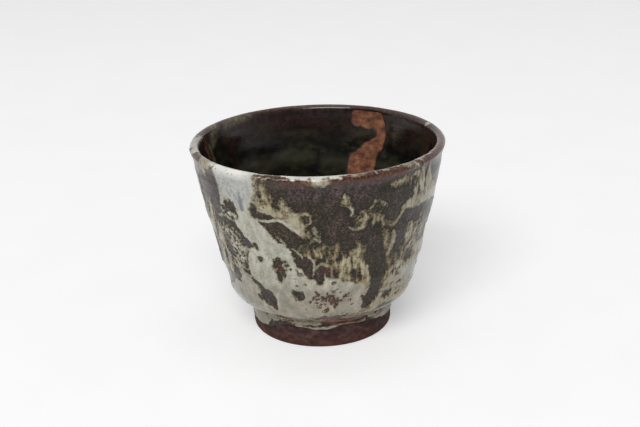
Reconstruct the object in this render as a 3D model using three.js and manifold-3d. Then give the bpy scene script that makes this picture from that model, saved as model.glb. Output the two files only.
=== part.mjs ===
// A hand-thrown stoneware tea bowl: a flared clay bowl on a turned foot ring, with a dark liner
// glaze inside, a dark coat outside, a coat over the lip, an apron of glaze over the foot and pale
// glaze poured over the dark coat.
// Millimetres, +Z up, origin at the centre of the foot's resting face. Angles are in degrees round
// the axis, from 0 at the front (-Y), growing towards +X.

import * as THREE from 'three';
import { mergeVertices } from 'three/addons/utils/BufferGeometryUtils.js';
import Module from 'manifold-3d';

const wasm = await Module();
wasm.setup();

// Clay: the foot ring
const FOOT_RADIUS = 31;
const FOOT_RING_WIDTH = 6;
const FOOT_RING_HEIGHT = 7;
const FOOT_BEVEL = 1.2;

// Clay: the bowl, from the foot ring up to the lip
const BASE_EDGE = 6;
const TURN_OVERHANG = 8.2;
const TURN_RISE = 5.8;
const TURN_ROUND = 2;
const WALL_RISE = 57.2;
const WALL_BULGE = 0.6;
const LIP_FLARE = 1.6;
const LIP_RISE = 7.5;
const RIM_RADIUS = 54.3;
const LIP_THICKNESS = 2.9;
const FLOOR_THICKNESS = 7;
const WELL_INSET = 3.7;
const WELL_DEPTH = 13;

// Glaze: thicknesses, and the clearances between coats
const COAT_THICKNESS = 0.5;
const POUR_THICKNESS = 0.45;
const LAYER_GAP = 0.05;
const SEAM_GAP = 0.3;

// Glaze: where the coats end
const LIP_COAT_OUTSIDE = 3;
const LIP_COAT_INSIDE = 4;
const APRON_DROP = 4.5;
const APRON_WAVE = 0.9;
const APRON_RIPPLES = [{ count: 2, share: 0.6, phase: 0 }, { count: 5, share: 0.4, phase: -90 }];

// Faceting
const ROUND_STEPS = 40;
const CURVE_STEPS = 3;
const OUTLINE_STEPS = 3;
const CUT_STEPS = 4;

// Heights and radii that follow from the sizes above
const baseTop = FOOT_RING_HEIGHT + BASE_EDGE;
const turnRadius = FOOT_RADIUS + TURN_OVERHANG;
const turnHeight = baseTop + TURN_RISE;
const neckRadius = RIM_RADIUS - LIP_FLARE;
const neckHeight = turnHeight + WALL_RISE;
const lipHeight = neckHeight + LIP_RISE;
const floorHeight = FOOT_RING_HEIGHT + FLOOR_THICKNESS;
const wellRadius = turnRadius - WELL_INSET;
const wellHeight = floorHeight + WELL_DEPTH;
const innerRimRadius = RIM_RADIUS - LIP_THICKNESS;

// Points of the clay's surface, as [radius, height] along the section

const point = (radius, height) => new THREE.Vector2(radius, height);

function towards(from, to, distance) {
  return to.clone().sub(from).setLength(distance).add(from);
}

function bend(start, corner, end, steps = CURVE_STEPS) {
  return new THREE.QuadraticBezierCurve(start, corner, end).getPoints(steps);
}

const apronStart = point(FOOT_RADIUS, baseTop - APRON_DROP - 2 * APRON_WAVE);
const baseCorner = point(FOOT_RADIUS, baseTop);
const turnCorner = point(turnRadius, turnHeight);
const neck = point(neckRadius, neckHeight);
const lipOutside = point(RIM_RADIUS, lipHeight);
const lipInside = point(innerRimRadius, lipHeight);
const wellCorner = point(wellRadius, wellHeight);
const floorCentre = point(0, floorHeight);

const turnLow = towards(turnCorner, baseCorner, TURN_ROUND);
const turnHigh = towards(turnCorner, neck, TURN_ROUND);
const wallMiddle = turnHigh.clone().add(neck).multiplyScalar(0.5);
const wallPull = point(wallMiddle.x + 2 * WALL_BULGE, wallMiddle.y);
const coatEndInside = towards(lipInside, wellCorner, LIP_COAT_INSIDE);
const linerStart = towards(lipInside, wellCorner, LIP_COAT_INSIDE + SEAM_GAP);
const wellSlope = (lipInside.x - wellCorner.x) / (lipInside.y - wellCorner.y);
const wellPull = point(wellRadius - WELL_DEPTH * wellSlope, floorHeight);

// The lip flares out from the neck along a parabola, here at a drop below the lip's edge.
function flareAt(drop) {
  const climb = 1 - drop / LIP_RISE;
  return point(neckRadius + LIP_FLARE * climb * climb, lipHeight - drop);
}

const undersideSection = [apronStart, baseCorner, towards(turnLow, baseCorner, SEAM_GAP)];
const wallSection = [
  ...bend(turnLow, turnCorner, turnHigh),
  ...bend(turnHigh, wallPull, neck).slice(1),
  flareAt(LIP_COAT_OUTSIDE + SEAM_GAP),
];
const flareSection = [flareAt(LIP_COAT_OUTSIDE), flareAt(LIP_COAT_OUTSIDE / 2), lipOutside];
const lipSection = new THREE.EllipseCurve(
  (RIM_RADIUS + innerRimRadius) / 2, lipHeight,
  LIP_THICKNESS / 2, LIP_THICKNESS / 2, 0, Math.PI,
).getPoints(2 * CURVE_STEPS);
const rimSection = [...flareSection, ...lipSection.slice(1), coatEndInside];
const wellSection = bend(wellCorner, wellPull, floorCentre, 2 * CURVE_STEPS);
const insideSection = [linerStart, ...wellSection];

// Solids

function solidOf(geometry) {
  geometry.deleteAttribute('normal');
  geometry.deleteAttribute('uv');
  const merged = mergeVertices(geometry);
  const corners = merged.index.array;
  const triangles = [];
  for (let i = 0; i < corners.length; i += 3) {
    const [a, b, c] = corners.slice(i, i + 3);
    if (a !== b && b !== c && c !== a) triangles.push(a, b, c);
  }
  return new wasm.Manifold(new wasm.Mesh({
    numProp: 3,
    vertProperties: Float32Array.from(merged.attributes.position.array),
    triVerts: Uint32Array.from(triangles),
  }));
}

// A solid of revolution about Z from a closed section, whose facets all start at the front.
function turned(section) {
  const outward = THREE.ShapeUtils.area(section) > 0 ? section : [...section].reverse();
  const closed = [...outward, outward[0]];
  return solidOf(new THREE.LatheGeometry(closed, ROUND_STEPS).rotateX(Math.PI / 2));
}

// The section moved off the clay by a distance, towards its left-hand side or its right-hand one.
function offset(section, distance) {
  return section.map((here, i) => {
    const before = section[i - 1] ?? here;
    const after = section[i + 1] ?? here;
    const arriving = here === before ? after.clone().sub(here) : here.clone().sub(before);
    const leaving = here === after ? arriving : after.clone().sub(here);
    const normalIn = point(arriving.y, -arriving.x).normalize();
    const normalOut = point(leaving.y, -leaving.x).normalize();
    const middle = normalIn.add(normalOut).normalize();
    if (here.x === 0) middle.set(0, 1);
    const stretch = distance / middle.dot(normalOut);
    return here.clone().addScaledVector(middle, stretch);
  });
}

// A coat of one thickness that lies on a stretch of the section, clear of it by a gap.
function coat(section, gap, thickness) {
  const under = offset(section, gap);
  const over = offset(section, gap + thickness);
  return turned([...under, ...over.reverse()]);
}

// Height on the outside wall, or on the inside one, at a percentage of the way from bottom to top.
const heightOn = (low, high) => (percent) => THREE.MathUtils.lerp(low.y, high.y, percent / 100);
const onWall = heightOn(turnLow, wallSection.at(-1));
const onLiner = heightOn(wellCorner, lipInside);

// A closed outline of [angle, percent of height] points, cut straight through the wall from the axis.
function radialCut(outline, heightAt) {
  const points = outline.map(([angle, percent]) => new THREE.Vector3(angle, percent, 0));
  const smooth = new THREE.CatmullRomCurve3(points, true).getPoints(OUTLINE_STEPS * outline.length);
  const shape = new THREE.Shape(smooth.slice(1).map(({ x, y }) => new THREE.Vector2(x, heightAt(y))));
  const inner = FOOT_RADIUS / 2;
  const depth = 2 * RIM_RADIUS - inner;
  const block = new THREE.ExtrudeGeometry(shape, { depth, steps: CUT_STEPS, bevelEnabled: false });
  const place = block.attributes.position;
  for (let i = 0; i < place.count; i += 1) {
    const angle = THREE.MathUtils.degToRad(place.getX(i));
    const radius = inner + place.getZ(i);
    place.setXYZ(i, radius * Math.sin(angle), -radius * Math.cos(angle), place.getY(i));
  }
  return solidOf(block);
}

// A round spot on the unrolled wall, leaning from the vertical, as an outline for radialCut.
function spot({ angle, percent, halfAngle, halfPercent, lean }) {
  const turn = THREE.MathUtils.degToRad(lean);
  return [0, 60, 120, 180, 240, 300].map((step) => {
    const around = THREE.MathUtils.degToRad(step);
    return [
      angle + halfAngle * Math.cos(around + turn),
      percent + halfPercent * Math.sin(around),
    ];
  });
}

// Pieces

function clayBowl() {
  const underside = [point(0, FOOT_RING_HEIGHT), point(FOOT_RADIUS, FOOT_RING_HEIGHT), baseCorner];
  return turned([
    ...underside,
    ...wallSection,
    ...flareSection,
    ...lipSection.slice(1),
    ...wellSection,
  ]);
}

function footRing() {
  const inner = FOOT_RADIUS - FOOT_RING_WIDTH;
  return turned([
    point(inner + FOOT_BEVEL, 0),
    point(FOOT_RADIUS - FOOT_BEVEL, 0),
    point(FOOT_RADIUS, FOOT_BEVEL),
    point(FOOT_RADIUS, FOOT_RING_HEIGHT),
    point(inner, FOOT_RING_HEIGHT),
    point(inner, FOOT_BEVEL),
  ]);
}

// The bare patch where the liner drew back from the clay, with a tongue of glaze reaching into it.
const BARE_PATCH = [
  [160, 105], [161, 90], [158, 87], [150, 88], [145, 86], [145, 82], [150, 77],
  [158, 71], [161, 57], [160, 45], [146, 42], [144, 60], [144, 70], [139, 76],
  [140, 86], [143, 96], [147, 105],
];

function linerGlaze() {
  return coat(insideSection, LAYER_GAP, COAT_THICKNESS).subtract(radialCut(BARE_PATCH, onLiner));
}

// The apron ends on the foot in an uneven line: a collar with a wavy top cuts off what lies below.
function footGlaze() {
  const edge = baseTop - APRON_DROP;
  const inner = FOOT_RADIUS / 2;
  const outer = FOOT_RADIUS * 2;
  const section = [point(inner, 0), point(outer, 0), point(outer, edge), point(inner, edge)];
  const collar = new THREE.LatheGeometry([...section, section[0]], ROUND_STEPS).rotateX(Math.PI / 2);
  const place = collar.attributes.position;
  for (let i = 0; i < place.count; i += 1) {
    if (place.getZ(i) < edge / 2) continue;
    const angle = Math.atan2(place.getX(i), -place.getY(i));
    const wave = APRON_RIPPLES.reduce((sum, { count, share, phase }) => (
      sum + share * Math.sin(count * angle + THREE.MathUtils.degToRad(phase))
    ), 0);
    place.setZ(i, edge + APRON_WAVE * wave);
  }
  return coat(undersideSection, LAYER_GAP, COAT_THICKNESS).subtract(solidOf(collar));
}

const outerGlaze = () => coat(wallSection, LAYER_GAP, COAT_THICKNESS);
const rimGlaze = () => coat(rimSection, LAYER_GAP, COAT_THICKNESS);

// Outlines of the pale pours, and the dark islands where the coat below shows through.
const FRONT_POUR = [
  [-52, 105], [-24, 105], [-28, 90], [-31, 81], [-27, 74], [-18, 64], [-7, 54],
  [4, 40], [15, 26], [22, 11], [13, 3], [0, -5], [-40, -5], [-56, 5],
  [-60, 22], [-47, 37], [-37, 50], [-38, 61], [-46, 70], [-51, 82],
];
const FRONT_ISLANDS = [
  { angle: -33, percent: 16, halfAngle: 4.5, halfPercent: 12, lean: 60 },
  { angle: -21, percent: 39, halfAngle: 4.5, halfPercent: 8, lean: 0 },
  { angle: -13, percent: 22, halfAngle: 4, halfPercent: 6, lean: 0 },
];
const UPPER_POUR = [
  [-25, 94], [-17, 95], [-8, 90], [-3, 78], [-4, 66], [-11, 69], [-20, 77], [-25, 82],
];
const RIGHT_POUR = [
  [62, 97], [59, 74], [61, 50], [67, 30], [63, 10], [50, 2], [36, 5], [33, 10],
  [42, 23], [43, 40], [44, 58], [47, 76], [51, 90],
];
const BACK_POUR = [
  [122, 105], [176, 105], [168, 80], [179, 55], [170, 30], [152, 14], [138, 33],
  [143, 60], [126, 76],
];
const FAR_LEFT_POUR = [
  [-148, 50], [-130, 76], [-112, 70], [-104, 42], [-98, 10], [-112, -5], [-140, -5],
  [-152, 20],
];

function pour(outline, islands = []) {
  const layer = coat(wallSection, 2 * LAYER_GAP + COAT_THICKNESS, POUR_THICKNESS);
  const shape = layer.intersect(radialCut(outline, onWall));
  return islands.reduce((rest, island) => rest.subtract(radialCut(spot(island), onWall)), shape);
}

// Finishes
const finish = (color, roughness) => new THREE.MeshStandardMaterial({ color, roughness, metalness: 0 });
const bareClay = finish('#7d4a35', 0.85);
const footClay = finish('#5d382f', 0.85);
const linerBlack = finish('#211e18', 0.15);
const darkCoat = finish('#4b413d', 0.35);
const lipCoat = finish('#9a8c7a', 0.3);
const apronCoat = finish('#a5a398', 0.4);
const paleCoat = finish('#b4b8b0', 0.3);

const bowl = new THREE.Group();

function addPiece(name, solid, material) {
  const { vertProperties, triVerts } = solid.getMesh();
  const geometry = new THREE.BufferGeometry();
  geometry.setAttribute('position', new THREE.BufferAttribute(vertProperties, 3));
  geometry.setIndex(new THREE.BufferAttribute(triVerts, 1));
  geometry.computeVertexNormals();
  const mesh = new THREE.Mesh(geometry, material);
  mesh.name = name;
  bowl.add(mesh);
}

addPiece('clay_bowl', clayBowl(), bareClay);
addPiece('foot_ring', footRing(), footClay);
addPiece('liner_glaze', linerGlaze(), linerBlack);
addPiece('outer_glaze', outerGlaze(), darkCoat);
addPiece('rim_glaze', rimGlaze(), lipCoat);
addPiece('foot_glaze', footGlaze(), apronCoat);
addPiece('pale_pour_front', pour(FRONT_POUR, FRONT_ISLANDS), paleCoat);
addPiece('pale_pour_upper', pour(UPPER_POUR), paleCoat);
addPiece('pale_pour_right', pour(RIGHT_POUR), paleCoat);
addPiece('pale_pour_back', pour(BACK_POUR), paleCoat);
addPiece('pale_pour_far_left', pour(FAR_LEFT_POUR), paleCoat);

export default bowl;
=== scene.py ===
"""Looks of a hand-thrown tea bowl: melted glaze outside, a dark liner inside, bare clay at the foot.

Sizes are in millimetres here and are written to the meshes in metres. Places on the wall are given
unrolled: degrees round the axis from the front (-Y), growing towards +X, and millimetres up. For the
outer glaze, heights past the lip's edge go on along the section, over the lip.
"""
from collections import namedtuple
import math

import bpy
import numpy as np
from mathutils import Matrix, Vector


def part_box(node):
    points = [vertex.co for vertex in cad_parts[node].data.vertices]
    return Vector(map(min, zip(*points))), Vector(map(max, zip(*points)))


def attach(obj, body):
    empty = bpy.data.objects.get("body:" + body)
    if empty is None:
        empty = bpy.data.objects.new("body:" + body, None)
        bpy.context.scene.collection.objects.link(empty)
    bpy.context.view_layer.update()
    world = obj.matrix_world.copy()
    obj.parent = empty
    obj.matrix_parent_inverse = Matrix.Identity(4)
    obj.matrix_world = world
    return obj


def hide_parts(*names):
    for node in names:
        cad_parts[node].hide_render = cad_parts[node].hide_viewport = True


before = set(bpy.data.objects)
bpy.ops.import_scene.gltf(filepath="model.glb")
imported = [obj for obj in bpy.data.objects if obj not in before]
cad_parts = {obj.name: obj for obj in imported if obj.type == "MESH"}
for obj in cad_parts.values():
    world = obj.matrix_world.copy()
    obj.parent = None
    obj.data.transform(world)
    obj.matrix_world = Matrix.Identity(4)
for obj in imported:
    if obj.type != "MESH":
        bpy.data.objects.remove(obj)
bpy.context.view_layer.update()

MM = 0.001

# Sizes that the frame gives
FOOT_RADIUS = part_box("foot_ring")[1].x / MM
FOOT_RING_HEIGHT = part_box("foot_ring")[1].z / MM
RIM_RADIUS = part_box("clay_bowl")[1].x / MM
CLAY_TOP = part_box("clay_bowl")[1].z / MM
FLOOR_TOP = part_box("liner_glaze")[0].z / MM

# Sizes of the clay's section
FOOT_RING_WIDTH = 6.0
FOOT_BEVEL = 1.2
FOOT_LAP = 4.0
FOOT_LAP_DEPTH = 1.0
BASE_TUCK = 0.3
BASE_EDGE = 6.0
BASE_FILLET = 1.2
TURN_OVERHANG = 8.2
TURN_RISE = 5.8
TURN_ROUND = 2.0
WALL_BULGE = 0.6
LIP_THICKNESS = 2.9
LIP_RISE = 7.5
LIP_FLARE = 1.6
WELL_INSET = 3.7
WELL_DEPTH = 13.0

# Places on the section that follow from them
LAP_TOP = FOOT_RING_HEIGHT + FOOT_LAP
BASE_TOP = FOOT_RING_HEIGHT + BASE_EDGE
TURN_RADIUS = FOOT_RADIUS + TURN_OVERHANG
TURN_HEIGHT = BASE_TOP + TURN_RISE
LIP_HEIGHT = CLAY_TOP - LIP_THICKNESS / 2
NECK_HEIGHT = LIP_HEIGHT - LIP_RISE
NECK_RADIUS = RIM_RADIUS - LIP_FLARE
INNER_RIM = RIM_RADIUS - LIP_THICKNESS
WELL_RADIUS = TURN_RADIUS - WELL_INSET
WELL_HEIGHT = FLOOR_TOP + WELL_DEPTH

# Glaze over the clay: thickness of a coat, of a pour on it and beside the bare patch,
# how deep a coat sinks where it ends, and where its back lies
COAT = 0.5
POUR = 0.42
THINNED = 0.15
SUNK = -0.35
BACKING = -0.5

# Where the coats of glaze meet, and the apron's lower edge as (degrees, height)
LIP_COAT_OUTSIDE = 3.0
LIP_COAT_INSIDE = 4.0
APRON_START = 4.0
APRON_EDGE = (
    (-150, 8.4), (-110, 7.5), (-75, 5.4), (-53, 5.4), (-45, 6.5), (-38, 8.2), (-28, 9.6), (-20, 9.5),
    (-8, 8.8), (0, 8.5), (8, 8.8), (15, 10.2), (25, 9.8), (34, 9.3), (45, 8.6), (55, 7.2), (75, 7),
    (120, 9), (165, 8),
)

# Points that each line or curve of the section, the lip's flare and the wall are drawn with
CURVE_POINTS = 60
FLARE_POINTS = 40
WALL_POINTS = 200

# Radius below which a place counts as on the axis. A degree gets no shorter there.
LEAST_RADIUS = 0.5

# Distance below which two points are the same, and what keeps a division by nothing from happening
SAME_POINT = 1e-6
LEAST_LENGTH = 1e-9
LEAST_AREA = 1e-12

# Throwing ridges outside: height, lift and spread of each
RIDGES = ((22.5, 0.45, 2.0), (36.0, 0.6, 4.5), (57.0, 0.45, 4.0), (68.0, 0.15, 3.5))

# Meshes: columns round the axis, distance from row to row, how many rows of a coat one step of its
# back spans, the gap left round the axis, and the angle in degrees from which an edge is sharp
COLUMNS = 600
CLAY_COLUMNS = 360
FOOT_COLUMNS = 480
APRON_SPACING = 0.35
WALL_SPACING = 0.56
LIP_SPACING = 0.34
LINER_SPACING = 0.75
CLAY_SPACING = 0.9
FOOT_SPACING = 0.35
BACK_ROW_STEP = 10
AXIS_GAP = 0.01
SHARP_ANGLE = 50

# Specular level of the glaze on the wall, on the lip and inside, and of bare clay
WALL_SHINE = 0.26
LIP_SHINE = 0.42
LINER_SHINE = 0.42
CLAY_SHINE = 0.25

# The camera, fitted to the rim and foot in the photograph
IMAGE_WIDTH = 640
SENSOR_WIDTH = 36.0
FOCAL_PIXELS = 1039.07
CAMERA_DISTANCE = 459.77
CAMERA_ELEVATION = 21.07
CAMERA_ROLL = 1.72
CAMERA_AIM = (0.22, 0.0, 50.02)
CAMERA_CLIP = 0.01

# Floor: half its width in metres, its finish, and the share of it that shines at a steady level,
# which keeps it pale near the foot
FLOOR_HALF = 2.5
FLOOR_ROUGHNESS = 0.9
FLOOR_SHINE = 0.1
FLOOR_GLOW = 0.18
FLOOR_LEVEL = 1.98

# Lamps: place, width and depth in metres, and power in watts
LAMP_AIM = (0, 0, 0.05)
KEY_LIGHT = ((-0.72, -2.9, 2.9), 2.8, 1.6, 128.0)
TOP_LIGHT = ((0.0, 0.1, 2.0), 1.0, 0.5, 3.5)

# World: strength of its light, and of what is seen of it. In reflections it grows
# from the front to the back, each given as a part of the direction along Y and a strength.
WORLD_LIGHT = 0.24
WORLD_SEEN = 0.92
WORLD_FRONT = (-0.9, 0.12)
WORLD_BACK = (0.2, 0.85)

# Kinds of glaze: thickness, softness and raggedness of the edge, and how far the colour leans to ochre
Kind = namedtuple("Kind", "level softness roughness warmth")
WHITE = Kind(1.0, 0.8, 1.0, 0.0)
SOFT = Kind(0.95, 2.4, 0.8, 0.0)
LINE = Kind(0.92, 0.45, 0.4, 0.15)
ASH = Kind(0.7, 1.0, 1.0, 0.1)
MILK = Kind(0.74, 2.2, 0.9, 0.5)
CREAM = Kind(0.7, 1.0, 0.8, 0.5)
OCHRE = Kind(0.5, 1.6, 0.5, 1.0)
HAZE = Kind(0.27, 3.0, 0.6, 0.8)
VEIL = Kind(0.42, 3.5, 1.0, 0.0)
DARK = Kind(0.0, 0.8, 0.8, 0.6)
SPOT = Kind(0.0, 0.7, 0.3, 0.6)
ISLAND = Kind(0.0, 1.1, 1.0, 0.6)

# Runs of the pale glaze over the dark coat. Each stroke has its kind, and points of (degrees, height,
# half width). Later strokes lie over earlier ones. A dark stroke or spot opens the pale glaze again,
# and an island leaves specks of it.

# Thin broken glaze around the pours. The grey haze and veil strokes down the far left and right edges are
# partly painted sheen.
THIN_GLAZE = (
    (VEIL, (-53, 56, 3), (-46, 52, 4.5), (-44, 47, 4), (-48, 41, 3)),
    (HAZE, (-30, 72, 3), (-25, 72, 4), (-20, 72, 3)),
    (HAZE, (-24, 80, 2.5), (-23, 75, 3)),
    (HAZE, (-6, 60, 3), (-3, 57, 3), (0, 62, 2)),
    (HAZE, (-9, 54, 2.5), (-3, 52, 4), (4, 51, 4), (10, 50, 3)),
    (HAZE, (8, 46, 4), (14, 43, 6), (20, 40, 4), (23, 35, 3)),
    (HAZE, (33, 57, 2.5), (35, 51, 3), (37, 45, 3), (42, 42, 3)),
    (HAZE, (50, 52, 5), (52, 44, 4)),
    (HAZE, (58, 55, 5), (60, 45, 6)),
    (HAZE, (38, 79, 2.5), (46, 78, 4), (54, 75, 6), (60, 72, 6)),
    (HAZE, (42, 67, 2), (54, 67, 3)),
    (HAZE, (40, 33, 5), (50, 31, 7), (62, 31, 8)),
    (HAZE, (30, 19, 2), (40, 22, 3), (60, 22, 4)),
    (HAZE, (-62, 67, 4), (-64, 60, 6), (-62, 52, 5), (-62, 44, 4), (-62, 34, 6)),
    (VEIL, (-58, 82, 2), (-68, 80, 3)),
    (HAZE, (60, 78, 4), (64, 66, 5), (62, 52, 5), (64, 42, 5)),
    (HAZE, (-60, 33, 5), (-66, 30, 6)),
    (HAZE, (12, 74, 2), (14, 69, 2)),
    (HAZE, (18, 64, 3), (21, 68, 2.5), (26, 70, 3)),
    (HAZE, (28, 64, 3), (36, 62, 2)),
    (HAZE, (0, 18, 1.5), (12, 18, 2), (24, 18, 2)),
)
# Ochre streaks at the centre and the right
OCHRE_STREAKS = (
    (OCHRE, (10, 45, 2), (14, 46.5, 1.8), (19, 46, 1.8), (22, 43, 1.5), (24, 39, 1.4), (26, 31, 0.9)),
    (OCHRE, (12, 43, 2), (12.5, 39.5, 2), (10, 38, 1.2)),
    (OCHRE, (18, 56, 0.8), (18.4, 52, 1.2), (19, 48, 1.2)),
    (CREAM, (18.2, 54, 0.3), (18.6, 50, 0.7), (18.8, 46.8, 0.6)),
    (CREAM, (9.5, 39.5, 0.4), (12, 40.4, 0.7), (14.5, 39, 0.5)),
    (OCHRE, (21.2, 54, 0.5), (21.8, 50, 0.8)),
    (OCHRE, (8, 56.5, 0.5), (8.5, 53, 0.9), (7, 50, 1)),
    (OCHRE, (5.8, 54.5, 0.5), (6, 51, 0.6)),
    (OCHRE, (-2, 51, 1), (2, 50, 1.2), (5, 49.3, 1)),
    (OCHRE, (-1, 53, 1), (1, 55, 0.6)),
    (OCHRE, (-8.5, 55, 0.8), (-7, 51.5, 0.9), (-5.5, 49.5, 0.8)),
    (OCHRE, (16, 38.5, 1), (19, 36.8, 1.2), (22, 35.5, 1)),
    (OCHRE, (-3, 48.5, 0.7), (-4, 46.5, 0.5)),
    (OCHRE, (32, 58.5, 0.8), (32.5, 54, 1.2), (33.5, 51, 0.8)),
    (OCHRE, (38, 42, 1.5), (40, 39, 1.5)),
    (OCHRE, (42, 44, 1), (41.5, 41, 1)),
    (OCHRE, (37, 36, 2.4), (38.5, 31.5, 2.6)),
    (OCHRE, (-60, 50.5, 1.6), (-57, 49, 1.2)),
    (CREAM, (12.6, 48, 0.2), (12.2, 44.5, 0.5), (11, 40.5, 0.3)),
    (CREAM, (14.6, 50, 0.2), (14.4, 46.5, 0.5), (14.8, 43.5, 0.3)),
    (CREAM, (16.6, 51.5, 0.2), (16.4, 47, 0.5), (16.8, 44, 0.3)),
    (CREAM, (21, 48, 0.2), (21.8, 44, 0.6), (22.8, 39, 0.4)),
    (CREAM, (23.8, 42.5, 0.2), (24.6, 38, 0.5), (25.2, 33.5, 0.3)),
    (CREAM, (4, 52, 0.2), (4.2, 50, 0.4), (3.6, 48.4, 0.2)),
)
# Patch at the upper centre left
UPPER_PATCH = (
    (MILK, (-16, 76, 0.6), (-15.2, 73, 1.6), (-14.5, 70, 2.8), (-12, 67.5, 3.4), (-10, 65, 2.8),
     (-7.5, 60, 0.8)),
    (MILK, (-22, 71.5, 0.5), (-19, 70.5, 1), (-17, 69.5, 1.4)),
    (OCHRE, (-28, 72, 1), (-24, 72, 1.4), (-20, 72, 1.6)),
    (LINE, (-26.5, 75, 0.2), (-26, 71, 0.3)),
    (CREAM, (-7, 69.8, 0.5), (-4.8, 70, 0.6), (-3.8, 68, 0.6), (-4, 65.8, 0.5), (-5.5, 64.6, 0.4)),
    (HAZE, (-24.5, 83, 1.6), (-24.5, 78, 2), (-23, 75, 1.6)),
    (MILK, (-24.2, 81, 0.3), (-24.3, 77.5, 0.4), (-23, 75, 0.3)),
    (CREAM, (-8, 66, 0.5), (-8, 61, 0.7)),
    (ASH, (-2, 63, 0.5), (-1.5, 60, 0.5)),
    (ASH, (-2.5, 58.5, 0.5), (-1, 57.8, 0.5)),
    (ASH, (-5, 61, 0.4), (-4.5, 57.5, 0.4)),
)
# Broken glaze at the left. The pale ash streaks down its far edge, from 57 degrees on, are partly painted
# sheen.
BROKEN_LEFT = (
    (ASH, (-54, 62.3, 0.8), (-50, 63.4, 0.8), (-46, 62.6, 0.6), (-42, 62.2, 0.6)),
    (ASH, (-51, 55.5, 0.5), (-48, 57, 0.5)),
    (ASH, (-47, 52, 0.6), (-44, 53.5, 0.6)),
    (ASH, (-50, 50, 0.7), (-46, 49.5, 0.7), (-42, 50.5, 0.8)),
    (ASH, (-40, 49, 1), (-38, 50, 1)),
    (ASH, (-50.5, 42.5, 0.6), (-48, 41, 0.7)),
    (ASH, (-52, 40, 0.8), (-48, 38.8, 0.8), (-44, 39.6, 0.6), (-41.5, 39.4, 0.5)),
    (ASH, (-47, 36.8, 1.4), (-41, 36.6, 1.4)),
    (CREAM, (-57, 57, 1), (-57, 53, 1.6), (-60, 50, 2)),
    (CREAM, (-63, 60, 1.5), (-66, 52, 2)),
    (ASH, (-60, 68, 0.8), (-62, 63, 1.4), (-61.5, 57, 0.8)),
    (ASH, (-67, 64, 0.6), (-68, 56, 1.4), (-67, 46, 1)),
    (ASH, (-70, 76, 0.8), (-71, 70, 1.8), (-72, 62, 1.2)),
    (ASH, (-61.5, 45, 0.8), (-63, 38, 1.5), (-62, 33, 1)),
    (ASH, (-73, 50, 0.5), (-74, 42, 1.2), (-73, 35, 0.8)),
    (ASH, (-57.5, 47.5, 0.8), (-56, 42, 1.7), (-57, 36, 1.6)),
)
# Hooks, arch and drips right of the centre
HOOKS = (
    (MILK, (11, 77, 0.6), (11.6, 75, 1), (12.2, 73.4, 0.7)),
    (LINE, (13, 72, 0.3), (14.4, 70.4, 0.3), (14.4, 69, 0.3), (13.6, 68, 0.2)),
    (CREAM, (13, 63.2, 0.3), (15, 61.7, 0.5), (17.5, 61.8, 0.6), (19.6, 62.6, 0.7)),
    (CREAM, (19.6, 62.6, 0.7), (20.8, 64.6, 0.6), (21.2, 66.6, 0.5), (20, 68.4, 0.5), (18.6, 69.3, 0.3)),
    (CREAM, (16, 66.6, 0.3), (18, 67.4, 0.4)),
    (CREAM, (17, 64.4, 0.3), (19, 65.4, 0.3)),
    (ASH, (22.3, 69.4, 0.1), (23.4, 71.8, 0.3), (25.3, 73.2, 0.35), (27.5, 72.8, 0.35), (31, 69.8, 0.1)),
    (CREAM, (24.6, 67.6, 0.3), (25, 65, 0.5), (25, 63.2, 0.4)),
    (CREAM, (27, 66.4, 0.3), (27.2, 64.3, 0.4)),
    (CREAM, (29.2, 65.4, 0.3), (30, 63, 0.45), (30.6, 61.6, 0.4)),
    (CREAM, (32.4, 62.6, 0.3), (34, 61, 0.45), (36.3, 60.6, 0.5), (38.2, 61.8, 0.6), (40.6, 65.2, 0.8)),
    (HAZE, (28, 77.4, 0.8), (33, 78, 1.2), (38, 79.4, 1.6)),
    (MILK, (33, 78.2, 0.2), (36.5, 78.8, 0.5), (40, 79.4, 0.7)),
)
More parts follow.
